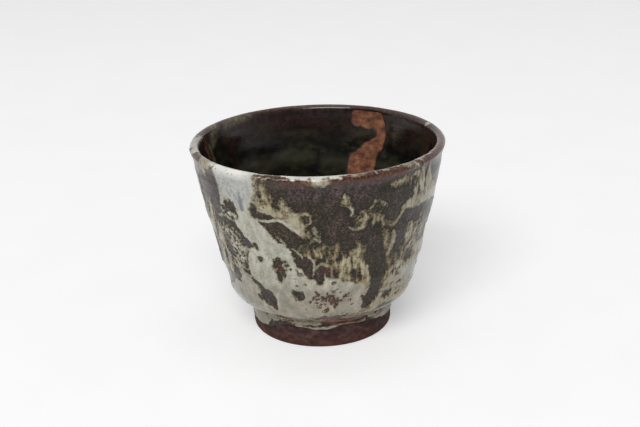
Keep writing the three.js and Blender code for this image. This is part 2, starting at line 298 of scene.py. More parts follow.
# Runs on the right side
RIGHT_RUNS = (
    (CREAM, (46, 80.5, 1.2), (50, 78, 2), (53, 74, 3), (57, 70, 3.5), (64, 68, 4)),
    (CREAM, (57, 77, 1.6), (59, 73, 2.2)),
    (CREAM, (41.5, 66.5, 1.4), (45, 68.5, 2), (50, 67.5, 2.6), (56, 67.5, 2.6)),
    (CREAM, (48.5, 71, 1.2), (48, 74, 0.8)),
    (CREAM, (36.8, 57.5, 0.6), (37.5, 54, 0.9), (37.3, 50, 1), (36, 46.8, 0.8)),
    (CREAM, (48, 58, 0.9), (49, 54, 1.6), (50, 50, 1.8), (51.5, 46.5, 1.6)),
    (CREAM, (53.5, 57, 0.6), (55, 50, 1), (57, 46, 1)),
    (CREAM, (59, 56, 0.6), (62, 48, 0.9)),
    (CREAM, (55.5, 45.5, 0.8), (62, 43, 1.5), (68, 42, 2)),
    (CREAM, (38, 38.5, 1), (43, 39.3, 1.2), (47, 39.5, 1)),
    (MILK, (44, 36.5, 0.8), (50, 36.5, 2.2), (58, 37, 3.2), (66, 36, 4)),
    (MILK, (41, 33, 1.6), (48, 32, 3.2), (56, 31, 4.2), (66, 30, 5)),
    (CREAM, (40, 30, 1.6), (38, 27, 1.2), (35, 25, 1.2), (31, 22.5, 0.9)),
    (MILK, (45, 25.5, 0.6), (54, 24.5, 1.8), (64, 23, 3)),
    (CREAM, (30, 21.8, 0.8), (34, 22.6, 1.2), (44, 22.4, 1.4), (52, 21, 2), (64, 20, 3)),
    (MILK, (34, 17, 0.8), (44, 17, 1.6), (58, 16, 3)),
    (MILK, (16, 20, 1), (24, 19.8, 1.2), (33, 20.4, 1)),
    (WHITE, (46, 36, 1), (52, 35, 1.6), (60, 35, 2)),
    (WHITE, (48, 31.5, 2), (58, 31, 3)),
    (WHITE, (58, 68, 1.5), (64, 68, 2)),
    (CREAM, (60, 68, 3), (70, 66, 2.6), (77, 61, 1)),
    (OCHRE, (70, 60, 0.8), (72, 52, 1.6), (71, 44, 1)),
    (MILK, (64, 42, 2.4), (73, 40, 2.6), (81, 35, 1.4)),
    (CREAM, (64, 30, 5), (76, 27, 4), (90, 23, 2)),
    (ISLAND, (70, 36, 1), (72.5, 33, 1.4)),
    (ISLAND, (80, 28, 0.8), (82, 25.5, 1)),
    (CREAM, (54, 47, 0.8), (58, 44, 2), (62, 42, 2.4)),
    (OCHRE, (45, 47, 1), (47, 43, 1.8), (46, 40, 1)),
    (CREAM, (35, 29, 0.8), (40, 27.8, 1.5), (46, 28.8, 1.3)),
    (CREAM, (45, 26.6, 0.6), (52, 27.6, 1.4), (60, 27, 2)),
    (CREAM, (20.5, 34, 2), (21, 30.5, 2.2), (20, 27.5, 1.5)),
    (CREAM, (24.8, 31.5, 0.8), (25, 28.5, 0.9), (25.8, 26, 0.6)),
)
# Panel at the upper left, and the pool that it runs into
PANEL_AND_POOL = (
    (SOFT, (-39, 88, 11), (-39, 82, 11), (-38.5, 78, 9.5), (-38, 75, 7)),
    (WHITE, (-47.5, 75, 1.2), (-48.5, 71, 1), (-49.5, 66, 0.8)),
    (WHITE, (-45, 66, 0.8), (-42, 65.5, 0.8)),
    (WHITE, (-42, 63.8, 0.7), (-40, 60.8, 1.7), (-37.5, 58, 1.5)),
    (WHITE, (-36.5, 75, 4.5), (-36.5, 70, 2.8), (-36, 66, 3.6), (-34, 62, 4.8), (-31, 59.5, 5.8)),
    (WHITE, (-31, 59.5, 5.8), (-27, 56.5, 7), (-23.5, 52, 7.5), (-25, 47, 10), (-26, 42, 11)),
    (WHITE, (-26, 42, 11), (-23, 37, 11.5), (-17, 32, 12.5), (-14, 27, 11.5), (-14, 24, 9)),
    (WHITE, (-41, 33, 2.2), (-40, 29.5, 2.6), (-41, 25, 3), (-38, 20.5, 3)),
    (WHITE, (-45, 33, 3), (-46, 28, 5), (-46, 23, 5.5), (-44, 17, 5)),
    (WHITE, (-56, 27, 3.5), (-60, 22, 5), (-68, 19, 6)),
    (WHITE, (-34, 20, 2.6), (-20, 22, 3), (-5, 22, 3), (8, 23, 3), (20, 24, 3)),
    (WHITE, (-7, 37.5, 2), (-4, 34, 4), (5, 35.5, 3.4), (12, 33, 4), (19, 31, 3.5)),
    (WHITE, (4, 28, 6), (12, 26.5, 5), (17, 29, 3)),
    (WHITE, (3, 38.5, 1), (8, 38, 1.2)),
    (WHITE, (-10.5, 43.5, 0.7), (-9, 42.3, 0.5)),
    (CREAM, (-20, 16, 3), (-10, 16, 3.4), (-3, 16, 3)),
    (CREAM, (-28, 69.5, 0.5), (-24, 70.2, 0.9), (-20, 69.4, 0.9)),
    (SPOT, (-25.8, 68, 0.6), (-24.4, 67.3, 0.7)),
    (LINE, (-29, 66.4, 0.4), (-25.5, 65.2, 0.5), (-22, 65.8, 0.6), (-19, 66.8, 0.7)),
    (LINE, (-19, 66.8, 0.7), (-16, 65.6, 0.7), (-13, 63.6, 0.7), (-11, 62, 0.6), (-9, 60.6, 0.4)),
)
# Dark islands and lobes
ISLANDS = (
    (ISLAND, (-18.5, 73.2, 0.9), (-17, 71.2, 0.8)),
    (DARK, (-5.6, 68.4, 0.8), (-5.8, 66.4, 0.7)),
    (ISLAND, (-44, 70.8, 1.4), (-42, 69.8, 2), (-40.5, 69, 1.4)),
    (ISLAND, (-43, 68.3, 1.4), (-42, 67, 0.8)),
    (DARK, (-49, 68, 1), (-48, 66.5, 0.7)),
    (DARK, (-26, 64, 0.6), (-22.5, 60.5, 1.3), (-19, 56.6, 0.8)),
    (ISLAND, (-31, 71.6, 0.7), (-29.8, 68.4, 1.2)),
    (SPOT, (-32.8, 53.6, 1), (-32.4, 51.8, 1.1)),
    (SPOT, (-31.9, 46.5, 1.2), (-31.1, 46.7, 1.2)),
    (DARK, (-45, 38.2, 0.5), (-40.5, 38.2, 0.5)),
    (ISLAND, (-49, 60, 0.4), (-45, 57.6, 1), (-41, 55.8, 1.4), (-38, 54, 1)),
    (ISLAND, (-22.5, 46.6, 1.5), (-20, 46.9, 1.5), (-17.8, 46, 1.2)),
    (ISLAND, (-22.6, 44.2, 1.9), (-20.8, 43.4, 2.3), (-21.2, 41, 1.9), (-21.6, 38, 1.3)),
    (DARK, (-18.6, 42, 0.4), (-18.4, 40.3, 0.4)),
    (DARK, (-16, 43.8, 0.6)),
    (DARK, (-38.8, 35.6, 0.9), (-36.5, 33.5, 1.2), (-35, 31.5, 1.2)),
    (DARK, (-35, 31.5, 1.2), (-32.3, 29, 2.9), (-30.5, 27, 2.8), (-28.3, 24.3, 1.9), (-26.5, 22.3, 0.7)),
    (DARK, (-38.5, 27, 0.9), (-37.8, 25, 0.8)),
    (ISLAND, (-15, 32, 1.4), (-13.5, 31, 2), (-13.5, 28.5, 1.5)),
    (DARK, (-10.3, 32, 0.6), (-9.8, 30, 0.5)),
    (DARK, (-12.8, 35.2, 0.55)),
    (DARK, (-9, 36.2, 0.6)),
    (DARK, (-11, 47.5, 1.6), (-10, 46, 1.3)),
    (DARK, (-7, 47, 2.6), (-6, 43, 2), (-6, 41, 1.4)),
    (DARK, (-13, 43.6, 0.3), (-12, 41.6, 0.45), (-9.6, 40.9, 0.4)),
    (ISLAND, (16.8, 42, 0.9), (18, 39.5, 1.2)),
    (DARK, (27.4, 26.5, 2), (26, 24.4, 1.2), (24.6, 23.2, 0.6)),
    (DARK, (30.5, 30, 2.6), (29, 27, 2.6)),
    (ISLAND, (41, 26, 1.2), (44, 26.6, 1)),
    (DARK, (48, 29.6, 0.5), (52, 29.2, 0.4)),
    (DARK, (44.3, 36, 0.4), (44.8, 34.5, 0.4)),
    (DARK, (-1, 43.5, 1), (-0.6, 40.5, 1.4), (-0.8, 37.8, 1.3)),
    (LINE, (-14, 54, 0.2), (-10.5, 52, 0.3), (-9, 49.5, 0.3)),
    (LINE, (-5.5, 49.5, 0.4), (-3.2, 47.5, 0.4), (-3.8, 43.5, 0.4)),
    (CREAM, (-3.6, 41, 0.35), (-3, 44, 0.5), (-1, 45.8, 0.5), (2, 46.4, 0.5)),
    (CREAM, (2, 46.4, 0.5), (4.6, 45.2, 0.4), (5.7, 42.6, 0.3), (5.2, 40, 0.4)),
    (LINE, (1.8, 41.5, 0.3), (2, 39.5, 0.4)),
)
# Lip, and the streaks that run from it. The thin pale lines along the crown right of the white band are
# partly painted highlight.
LIP_GLAZE = (
    (OCHRE, (-5, 83.4, 0.9), (-1, 83.2, 1)),
    (CREAM, (-1, 83.8, 1.3), (1.6, 82.8, 1.4), (3.8, 83.4, 1.1)),
    (LINE, (-27, 85.3, 0.3), (-20, 85.4, 0.2), (-15, 85.4, 0.2)),
    (LINE, (-27, 84.1, 0.15), (-21, 83.9, 0.15), (-17, 84, 0.05)),
    (WHITE, (-14, 86, 1.7), (-5, 86, 1.9), (3, 86, 1.9), (8, 85.9, 1.2)),
    (LINE, (8, 85.8, 0.6), (13, 85.7, 0.7)),
    (LINE, (6.5, 84.5, 0.5), (9.5, 84.3, 0.5)),
    (CREAM, (14, 84.9, 1.2), (17, 84.8, 1.3), (20, 84.8, 0.8)),
    (LINE, (20, 86.2, 0.4), (25, 86.1, 0.4), (33, 86.2, 0.35), (40, 86.3, 0.3)),
    (LINE, (24.3, 86, 0.5), (24.6, 84.3, 0.4)),
    (LINE, (36, 85.6, 0.5), (36.5, 84.8, 0.4)),
    (CREAM, (38.5, 85.4, 1.1), (42, 85, 1.9), (45, 84.8, 1.2)),
    (LINE, (28, 85.2, 0.4), (31, 84.9, 0.3)),
    (LINE, (45.5, 84.6, 0.3), (47, 83.6, 0.5)),
    (LINE, (48, 86, 0.6), (51, 85.6, 0.9), (55, 85.9, 0.5)),
    (CREAM, (49.5, 86, 0.6), (50.6, 82.5, 0.9), (51.5, 79, 1.4)),
    (CREAM, (56, 83, 0.4), (57, 79, 1.1), (58, 74, 1.8)),
    (DARK, (54, 82, 0.3), (54.6, 77, 0.6), (55, 72.5, 0.3)),
    (DARK, (48.8, 78, 0.2), (50.4, 73.5, 0.5), (50, 70, 0.2)),
    (LINE, (55, 86, 0.4), (58, 85.5, 0.5), (60, 85, 0.3)),
    (LINE, (62, 86, 0.4), (66, 85.6, 0.4)),
    (WHITE, (-99, 87, 0.9), (-90, 86.2, 1.9), (-80, 85.8, 2.2), (-73, 85.6, 1.6)),
    (CREAM, (-66, 87, 0.6), (-62, 85.6, 1.6), (-57, 84.6, 2.2), (-52, 85.4, 1.6)),
    (CREAM, (-60, 83, 0.5), (-59, 81, 1), (-60, 79, 0.4)),
    (ISLAND, (-70, 84.5, 1), (-68, 83, 1.2), (-66.5, 81.5, 0.8)),
    (LINE, (106.5, 86.2, 0.5), (109, 86.4, 0.9)),
)
# Foot, and the turn above it
FOOT_STREAKS = (
    (WHITE, (-88, 12, 2.5), (-76, 10.5, 3), (-66, 9.5, 3.8), (-54, 9, 3.2), (-47, 10.5, 1.4)),
    (ASH, (-46, 12, 1.2), (-40, 11.6, 1.2), (-34, 12.2, 0.7)),
    (CREAM, (-34, 13, 0.8), (-27, 12.4, 0.5)),
    (ASH, (-22, 12.4, 1.6), (-12, 12, 2), (-3, 12, 1.6)),
    (LINE, (-21, 10, 0.5), (-8, 9.4, 0.6), (2, 9.2, 0.6), (10, 9.8, 0.5), (15, 10.9, 0.4)),
    (CREAM, (16, 10.9, 0.5), (25, 10.4, 0.5), (35, 9.9, 0.5)),
    (ASH, (40, 12, 1), (48, 10.5, 1.8), (58, 9.6, 2.4), (75, 10, 2.6), (90, 11, 1.5)),
    (CREAM, (110, 11, 1.6), (150, 10.4, 1.8), (180, 10.2, 1.2), (220, 11, 1.8), (260, 11, 1.2)),
    (DARK, (-30, 14, 0.4), (-22, 13.4, 0.6), (-12, 13.8, 0.2)),
    (DARK, (-24, 16.4, 0.4), (-15, 16.8, 0.4), (-7, 16.3, 0.1)),
    (DARK, (-9, 18.2, 0.2), (-2, 18.4, 0.5), (6, 18, 0.4)),
    (DARK, (-1.5, 10.8, 0.4), (0.5, 10.9, 0.5)),
    (LINE, (1, 17.2, 0.2), (10, 16.9, 0.6), (19, 17.1, 0.2)),
    (LINE, (14, 12.8, 0.2), (23, 12.4, 0.6), (31, 12.6, 0.3)),
    (LINE, (17, 15.3, 0.2), (26, 15.1, 0.6), (34, 15.5, 0.3)),
    (CREAM, (-2, 14.4, 0.3), (6, 14.1, 0.4), (12, 14.4, 0.2)),
)
FRONT = (
    THIN_GLAZE + OCHRE_STREAKS + UPPER_PATCH + BROKEN_LEFT + HOOKS + RIGHT_RUNS + PANEL_AND_POOL
    + ISLANDS
)

# The side that the photograph doesn't show: the front's runs turned to the back, wider and lower, with a
# panel below the lip, and some runs turned to the right. Runs that reach the hidden top or the turned
# edge, in millimetres and degrees, aren't turned.
BACK_TURN = 194
BACK_SPREAD = 1.15
BACK_SINK = 0.94
BACK_PANEL = (
    (WHITE, (146, 80, 2.6), (150, 77, 4.6), (152, 70, 4)),
    (CREAM, (157, 79, 0.6), (156, 74, 1.4), (155, 68, 1)),
)
SIDE_TURN = 76
SIDE_PATCH_TURN = 128
HIDDEN_TOP = 80
TURNED_EDGE = 70

# Soft tints in the same unrolled places
RUST = (
    ((-14, 83.4, 0.8), (-8, 83.3, 0.9), (-2, 83.1, 1.1)),
    (
        (10, 84.2, 1), (20, 84, 1.3), (30, 83.8, 1.8), (40, 83.9, 1.8), (52, 84.6, 1.6), (66, 84.8, 1.6),
        (90, 85, 1.2),
    ),
    ((-71, 83.5, 0.8), (-67, 83, 1)),
    ((-58, 82.6, 0.5), (-55, 82.2, 0.5)),
    ((-101, 87, 1.8), (-100.5, 92.5, 2)),
    ((2.4, 43.2, 1.4),),
    ((-21.4, 43.8, 1), (-20.6, 41.5, 0.8)),
)
BRICK = (
    ((-28, 16, 2), (-21, 18.2, 1.2)),
    ((0, 15, 3), (10, 15, 3.5), (22, 15, 3.5), (32, 14.5, 2.5)),
    ((8, 11.6, 1.2), (20, 11.4, 1.3), (34, 11.6, 1.2)),
    ((-32, 12, 0.6), (-22, 11.4, 0.8)),
    ((-30, 14, 0.8), (-22, 13.4, 1), (-12, 13.8, 0.6)),
    ((-24, 16.4, 0.8), (-15, 16.8, 0.8), (-7, 16.3, 0.5)),
    ((-9, 18.2, 0.5), (-2, 18.4, 0.8), (6, 18, 0.8)),
    ((50, 15, 2), (80, 14, 3)),
)
OLIVE = (
    ((-30, 69, 1.6), (-27.5, 73, 2), (-24, 73, 1.8)),
    ((-26, 62, 2), (-18, 60, 3), (-12, 56, 2)),
    ((-4, 52, 3), (6, 51, 4), (14, 50, 3)),
    ((16, 42, 3), (20, 40, 3)),
    ((-4, 72, 3), (2, 64, 3), (6, 70, 3)),
    ((34, 55, 3),),
    ((30, 45, 3), (29, 30, 3)),
)
BLUE = (
    ((-25, 67.6, 1.2),),
    ((-36, 76.8, 0.3), (-36.3, 73, 0.9), (-35.8, 69.4, 0.8)),
    ((-39.4, 74.8, 0.1), (-36.4, 72.4, 0.4)),
    ((-34, 74.6, 0.1), (-36, 72.6, 0.3)),
    ((-43.5, 77.5, 0.1), (-41, 74.6, 0.3)),
)
# Cold white of the pale glaze, partly painted sheen: on the panel at the upper left, along the near lip
# and low at the left edge
COOL_SHEEN = (
    ((-44, 86, 8), (-38, 84, 9), (-38, 78, 7)),
    ((-28, 86.4, 1.5), (-12, 86.4, 2), (8, 86.2, 1.5)),
    ((-64, 20, 4), (-56, 20, 3)),
)
TAN = (
    ((-142, 87, 0.7), (-133, 87.4, 1.3), (-125, 88, 1.2)),
    ((-117, 86.5, 1.6), (-112, 89, 2.2), (-109, 92.5, 1.6)),
)
# Mauve of the dark coat; at the far left and right edges it is partly painted sheen
MAUVE_AND_SHEEN = (
    ((-60, 78, 5), (-57, 72, 5)),
    ((-10, 79, 3), (6, 80, 3), (20, 80, 3)),
    ((30, 82, 2), (40, 81, 2)),
    ((44, 61, 4), (56, 61, 4), (70, 76, 6)),
    ((-31, 28, 2.5),),
    ((-40, 56, 3),),
)
MARBLED = (
    ((-8, 54, 2), (0, 52, 3)),
    ((50, 68, 8), (52, 50, 8)),
    ((44, 30, 6), (58, 28, 8)),
    ((-24, 74, 4), (-14, 70, 4)),
)
STREAKED = (
    ((46, 79, 2), (53, 74, 4), (60, 70, 5)),
    ((48, 56, 3), (52, 50, 4), (58, 46, 4)),
    ((40, 38, 3), (52, 34, 4), (64, 31, 5)),
    ((34, 25, 2), (46, 24, 3)),
    ((10, 48, 3), (16, 46, 4), (22, 42, 4)),
    ((-2, 51, 2), (4, 50, 2)),
    ((-62, 62, 3), (-63, 50, 4), (-62, 38, 4)),
)
LEOPARD = (
    ((-52, 57, 3), (-46, 53, 4), (-45, 46, 4), (-48, 41, 2)),
    ((-48, 68, 2), (-46, 65, 2)),
    ((-50, 61, 1.2), (-45, 57.8, 1.6), (-40.5, 55.6, 1.2)),
)

# Iron flecks in the pool: how many, the middle and spread of the cluster in degrees and millimetres,
# and their size
FLECK_SEED = 31
FLECK_COUNT = 80
FLECK_MIDDLE = (5.0, 28.0)
FLECK_SPREAD = (5.5, 2.6)
FLECK_LENGTH = 1.8
FLECK_HALF_WIDTHS = (0.25, 0.95)
FLECK_DEGREES_PER_MM = 1.4

# Inside: the bare patch where the liner drew back, and the tints of the liner
BARE = (
    ((152, 86, 3.8), (156, 86, 3.6)),
    ((151.4, 86, 3.6), (149.4, 79.8, 3.4), (152, 79.4, 3)),
    ((156, 86, 3.6), (156.8, 80, 3)),
    ((150.5, 85, 3), (146, 81.6, 2.4), (142.8, 77.6, 1.9)),
    ((143.8, 79, 1.8), (141.4, 74, 1.8), (142.8, 69, 2.2)),
    ((146.4, 79.4, 2.6), (143.8, 77, 2)),
    ((145, 69, 2.8), (150, 63.5, 5), (151.6, 58, 6.2), (152.2, 50, 5.6)),
    ((157, 61.5, 2.6), (157, 56, 3)),
    ((148, 47, 3.6), (153, 45, 6.5), (163, 45, 4.5)),
)
LINER_RUST = (
    ((139, 67, 1), (139.5, 63, 0.8)),
    ((-140, 81, 1.5), (-128, 81.5, 1.5)),
)
LINER_BROWN = (
    ((-98.5, 84, 2), (-99.5, 79, 1.9), (-100.5, 74, 0.8)),
)
# Soft olive streaks inside, partly a painted reflection in the glossy liner
LINER_OLIVE_AND_SHEEN = (
    ((-138, 56, 0.8), (-152, 62, 1.6), (-164, 65, 1)),
    ((-176, 62, 1), (176, 60, 1.4)),
)
# Pale glaze near the lip; the second stroke, a thin line beside the brown streak, is a painted highlight
LINER_PALE_AND_HIGHLIGHT = (
    ((-116, 82, 1.6), (-111, 80, 2), (-108, 77.5, 0.8)),
    ((-104, 83, 0.9), (-104.5, 76, 1.1), (-105, 68, 0.5)),
)


# Noise and strokes

NOISE_TABLE = 256
NOISE_GAIN = 1.6

# Distance past a stroke's edge at which it has no effect, and the depth given beyond it
REACH = 6.0
FAR_OUTSIDE = -99.0


def noise(points, size, seed):
    """Gradient noise of about -1 to 1 at points in millimetres, with grains of the given size."""
    rng = np.random.default_rng(seed)
    table = rng.permutation(NOISE_TABLE)
    slopes = rng.normal(size=(NOISE_TABLE, 3))
    slopes /= np.linalg.norm(slopes, axis=1, keepdims=True)
    place = points / size
    cell = np.floor(place).astype(int)
    inside = place - cell
    ease = inside ** 3 * (inside * (inside * 6 - 15) + 10)
    total = np.zeros(points.shape[:-1])
    for corner in np.ndindex(2, 2, 2):
        at = cell + corner
        key = table[at[..., 0] % NOISE_TABLE]
        key = table[(key + at[..., 1]) % NOISE_TABLE]
        key = table[(key + at[..., 2]) % NOISE_TABLE]
        dot = ((inside - corner) * slopes[key]).sum(-1)
        total += dot * np.where(corner, ease, 1 - ease).prod(-1)
    return total * NOISE_GAIN


def smooth_step(low, high, value):
    """Eased climb from 0 at the low value to 1 at the high one."""
    share = np.clip((value - low) / (high - low), 0, 1)
    return share * share * (3 - 2 * share)


def bell(value, middle, spread):
    """A smooth bump of 1 at the middle."""
    return np.exp(-((value - middle) / spread) ** 2)


def rounded(stroke, rounds=2):
    """The same stroke with its corners cut, so that it bends smoothly between its ends."""
    points = np.array(stroke, dtype=float)
    for _ in range(rounds if len(points) > 2 else 0):
        before = points[:-1]
        after = points[1:]
        cuts = [0.75 * before + 0.25 * after, 0.25 * before + 0.75 * after]
        cut = np.stack(cuts, axis=1).reshape(-1, 3)
        points = np.concatenate([points[:1], cut[1:-1], points[-1:]])
    return points


def depth_in(stroke, angle, height, per_degree):
    """How far inside a stroke each place lies, in millimetres; far negative beyond its reach."""
    points = rounded(stroke)
    best = np.full(np.broadcast(angle, height).shape, FAR_OUTSIDE)
    margin = points[:, 2].max() + REACH
    middle = (points[:, 0].max() + points[:, 0].min()) / 2
    swing = (angle - middle + 180) % 360 - 180
    half = (points[:, 0].max() - points[:, 0].min()) / 2 * per_degree + margin
    near = (np.abs(swing * per_degree) < half) & (height > points[:, 1].min() - margin)
    near &= height < points[:, 1].max() + margin
    spread = np.broadcast_to(per_degree, best.shape)[near]
    across_middle = swing[near] * spread
    up_here = height[near]
    depth = np.full(spread.shape, FAR_OUTSIDE)
    for start, end in zip(points, points[1:] if len(points) > 1 else points):
        across = across_middle - (start[0] - middle) * spread
        up = up_here - start[1]
        run = (end[0] - start[0]) * spread
        rise = end[1] - start[1]
        share = np.clip((across * run + up * rise) / (run * run + rise * rise + LEAST_LENGTH), 0, 1)
        reach = start[2] + (end[2] - start[2]) * share
        depth = np.maximum(depth, reach - np.hypot(across - share * run, up - share * rise))
    best[near] = depth
    return best


def turned(strokes, turn, spread=1.0, sink=1.0):
    """Strokes turned round the axis, spread and sunk, without those near the lip or at the sides."""
    low = [
        stroke for stroke in strokes
        if max(up + half for _, up, half in stroke) < HIDDEN_TOP
        and max(abs(across) for across, _, _ in stroke) < TURNED_EDGE
    ]
    return tuple(
        tuple((turn + spread * across, sink * up, half) for across, up, half in stroke)
        for stroke in low
    )


def turned_kinds(strokes, *turn):
    """The same for strokes that come with the kind of their glaze."""
    return tuple((kind, *copy) for kind, *stroke in strokes for copy in turned((stroke,), *turn))


def all_round(strokes):
    """Strokes of the front, and the same at the back."""
    return strokes + turned(strokes, BACK_TURN, BACK_SPREAD, BACK_SINK)


def iron_flecks():
    """Short strokes scattered round the middle of the cluster."""
    rng = np.random.default_rng(FLECK_SEED)
    flecks = []
    for _ in range(FLECK_COUNT):
        across, up = rng.normal(FLECK_MIDDLE, FLECK_SPREAD)
        run, rise = rng.uniform(-FLECK_LENGTH / 2, FLECK_LENGTH / 2, 2)
        half = rng.uniform(*FLECK_HALF_WIDTHS)
        tip = (across + run * FLECK_DEGREES_PER_MM, up + rise, half / 2)
        flecks.append(((across, up, half), tip))
    return tuple(flecks)


def tint(strokes, place, softness):
    """Soft mask of some strokes: 1 well inside, 0 at the softness outside."""
    depth = np.max([depth_in(stroke, *place) for stroke in strokes], axis=0)
    return smooth_step(-softness, softness, depth)


# Section of the clay, as (radius, height)

def line(start, end):
    """Points along a straight line."""
    return np.linspace(start, end, CURVE_POINTS)


def bend(start, pull, end, count=CURVE_POINTS):
    """A curve from start to end, drawn towards a point between them."""
    t = np.linspace(0, 1, count)[:, None]
    return (1 - t) ** 2 * np.array(start) + 2 * t * (1 - t) * np.array(pull) + t * t * np.array(end)


def towards(start, end, distance):
    """The point at a distance from the start, on the way to the end."""
    start = np.array(start)
    end = np.array(end)
    return start + (end - start) * distance / np.linalg.norm(end - start)


def joined(*stretches):
    """One line from several stretches, without the points that they share."""
    points = np.concatenate(stretches)
    keep = np.r_[True, np.linalg.norm(np.diff(points, axis=0), axis=1) > SAME_POINT]
    return points[keep]


def lengths(points):
    """Distance along a line at each of its points."""
    return np.r_[0, np.cumsum(np.linalg.norm(np.diff(points, axis=0), axis=1))]


def spaced(points, spacing):
    """The same line with points an even distance apart, both ends kept."""
    along = lengths(points)
    even = np.linspace(0, along[-1], max(2, round(along[-1] / spacing) + 1))
    return np.stack([np.interp(even, along, points[:, axis]) for axis in (0, 1)], axis=1)


def outward(points):
    """Unit normals of a section, on the right of its way."""
    way = np.gradient(points, lengths(points), axis=0)
    side = np.stack([way[:, 1], -way[:, 0]], axis=1)
    return side / np.maximum(np.linalg.norm(side, axis=1, keepdims=True), LEAST_LENGTH)


def flare(low_drop, high_drop):
    """The outside of the lip, between two distances below its edge."""
    drop = np.linspace(low_drop, high_drop, FLARE_POINTS)
    climb = 1 - drop / LIP_RISE
    return np.stack([NECK_RADIUS + LIP_FLARE * climb ** 2, LIP_HEIGHT - drop], axis=1)


def half_round():
    """The top of the lip."""
    swing = np.linspace(0, math.pi, CURVE_POINTS)
    middle = (RIM_RADIUS + INNER_RIM) / 2
    half = LIP_THICKNESS / 2
    return np.stack([middle + half * np.cos(swing), LIP_HEIGHT + half * np.sin(swing)], axis=1)


base_corner = (FOOT_RADIUS, BASE_TOP)
turn_corner = (TURN_RADIUS, TURN_HEIGHT)
neck = (NECK_RADIUS, NECK_HEIGHT)
lip_inside = (INNER_RIM, LIP_HEIGHT)
well = (WELL_RADIUS, WELL_HEIGHT)
floor_centre = (0.0, FLOOR_TOP)
turn_low = towards(turn_corner, base_corner, TURN_ROUND)
turn_high = towards(turn_corner, neck, TURN_ROUND)
wall_pull = (turn_high + neck) / 2 + (2 * WALL_BULGE, 0)
fillet_low = towards(base_corner, (FOOT_RADIUS, 0), BASE_FILLET)
fillet_high = towards(base_corner, turn_corner, BASE_FILLET)
well_slope = (INNER_RIM - WELL_RADIUS) / (LIP_HEIGHT - WELL_HEIGHT)
well_pull = (WELL_RADIUS - WELL_DEPTH * well_slope, FLOOR_TOP)
coat_end_inside = towards(lip_inside, well, LIP_COAT_INSIDE)

foot_side = joined(
    line((FOOT_RADIUS, APRON_START), fillet_low),
    bend(fillet_low, base_corner, fillet_high),
)
wall_side = joined(
    line(fillet_high, turn_low),
    bend(turn_low, turn_corner, turn_high),
    bend(turn_high, wall_pull, neck, WALL_POINTS),
    flare(LIP_RISE, LIP_COAT_OUTSIDE),
)
lip_side = joined(flare(LIP_COAT_OUTSIDE, 0), half_round(), line(lip_inside, coat_end_inside))
liner_side = joined(line(coat_end_inside, well), bend(well, well_pull, floor_centre))

COATS = {
    "foot_apron": spaced(foot_side, APRON_SPACING),
    "wall_coat": spaced(wall_side, WALL_SPACING),
    "lip_coat": spaced(lip_side, LIP_SPACING),
    "liner_coat": spaced(liner_side, LINER_SPACING),
}


# Skin of glaze: one grid of rows along the section and columns round the axis

section = joined(*COATS.values())
row_length = lengths(section)
lip_row = int(np.argmax(section[:, 0]))
unrolled = section[:, 1].copy()
unrolled[lip_row:] = LIP_HEIGHT + row_length[lip_row:] - row_length[lip_row]

angle = np.linspace(-180, 180, COLUMNS, endpoint=False)[None, :]
radians = np.radians(angle)
radius = np.maximum(section[:, :1], LEAST_RADIUS)
per_degree = np.radians(1) * radius
height = unrolled[:, None]
inner_height = section[:, 1:]
on_outside = height < LIP_HEIGHT
on_skin = np.stack(np.broadcast_arrays(
    section[:, :1] * np.sin(radians), -section[:, :1] * np.cos(radians), section[:, 1:],
), axis=-1)

STROKES = (
    BACK_PANEL
    + turned_kinds(FRONT, BACK_TURN, BACK_SPREAD, BACK_SINK)
    + turned_kinds(OCHRE_STREAKS + HOOKS, SIDE_TURN)
    + turned_kinds(UPPER_PATCH, SIDE_PATCH_TURN)
    + FRONT + LIP_GLAZE + FOOT_STREAKS
)


def skin_noise(size, seed, scale=(1, 1, 1)):
    """Noise on the clay's surface; a scale below 1 draws its grains out along that axis."""
    return noise(on_skin * scale, size, seed)


def poured_glaze():
    """Thickness of the pale glaze, from 0 for the dark coat to 1 for white, and its warmth."""
    specks = np.clip(skin_noise(1.2, seed=15), 0, 0.7)
    ragged = 0.7 * skin_noise(5.0, seed=1) + 0.9 * skin_noise(1.9, seed=2)
    drawn = 1.1 * skin_noise(1.7, seed=3, scale=(1, 1, 1.7 / 8.0)) + 0.7 * skin_noise(2.6, seed=4)
    uneven = 1 + 0.22 * skin_noise(3.2, seed=12)
    thickness = np.zeros(drawn.shape)
    warmth = np.full(drawn.shape, DARK.warmth)
    for kind, *stroke in STROKES:
        across = angle + kind.roughness * ragged / per_degree
        share = tint((stroke,), (across, height + kind.roughness * drawn, per_degree), kind.softness)
        if kind in (DARK, SPOT):
            thickness *= 1 - share
        elif kind == ISLAND:
            thickness *= 1 - share * (1 - specks)
        else:
            gain = share * np.maximum(kind.level * uneven - thickness, 0)
            thickness += gain
            warmth += (kind.warmth - warmth) * np.clip(gain * 3, 0, 1)
    return thickness, warmth


def broken_glaze():
    """The poured glaze with its marbling, its leopard spots, and combed lines above the foot."""
    thickness, warmth = poured_glaze()
    marble = noise(on_skin + 1.5 * skin_noise(4.0, seed=8)[..., None], 2.2, seed=9)
    thickness += 0.3 * marble * tint(all_round(MARBLED), wall_place, 3.0)
    leopard = tint(LEOPARD, wall_place, 2.0)
    thickness += leopard * (0.1 + skin_noise(1.1, seed=14, scale=(1, 1, 0.85)))
    warmth *= 1 - leopard
    thickness += 0.22 * cool_sheen * smooth_step(0.4, 0.75, thickness)
    thickness *= smooth_step(LIP_HEIGHT + 7, LIP_HEIGHT + 4.5, height + 2 * wander)
    combed = skin_noise(1.1, seed=13, scale=(0.1, 0.1, 1))
    combed *= smooth_step(21, 17, inner_height) * smooth_step(-70, -20, angle) * on_outside
    thickness += 0.07 * skin_noise(6.0, seed=10) + 0.55 * combed
    return np.clip(thickness, 0, 1), warmth


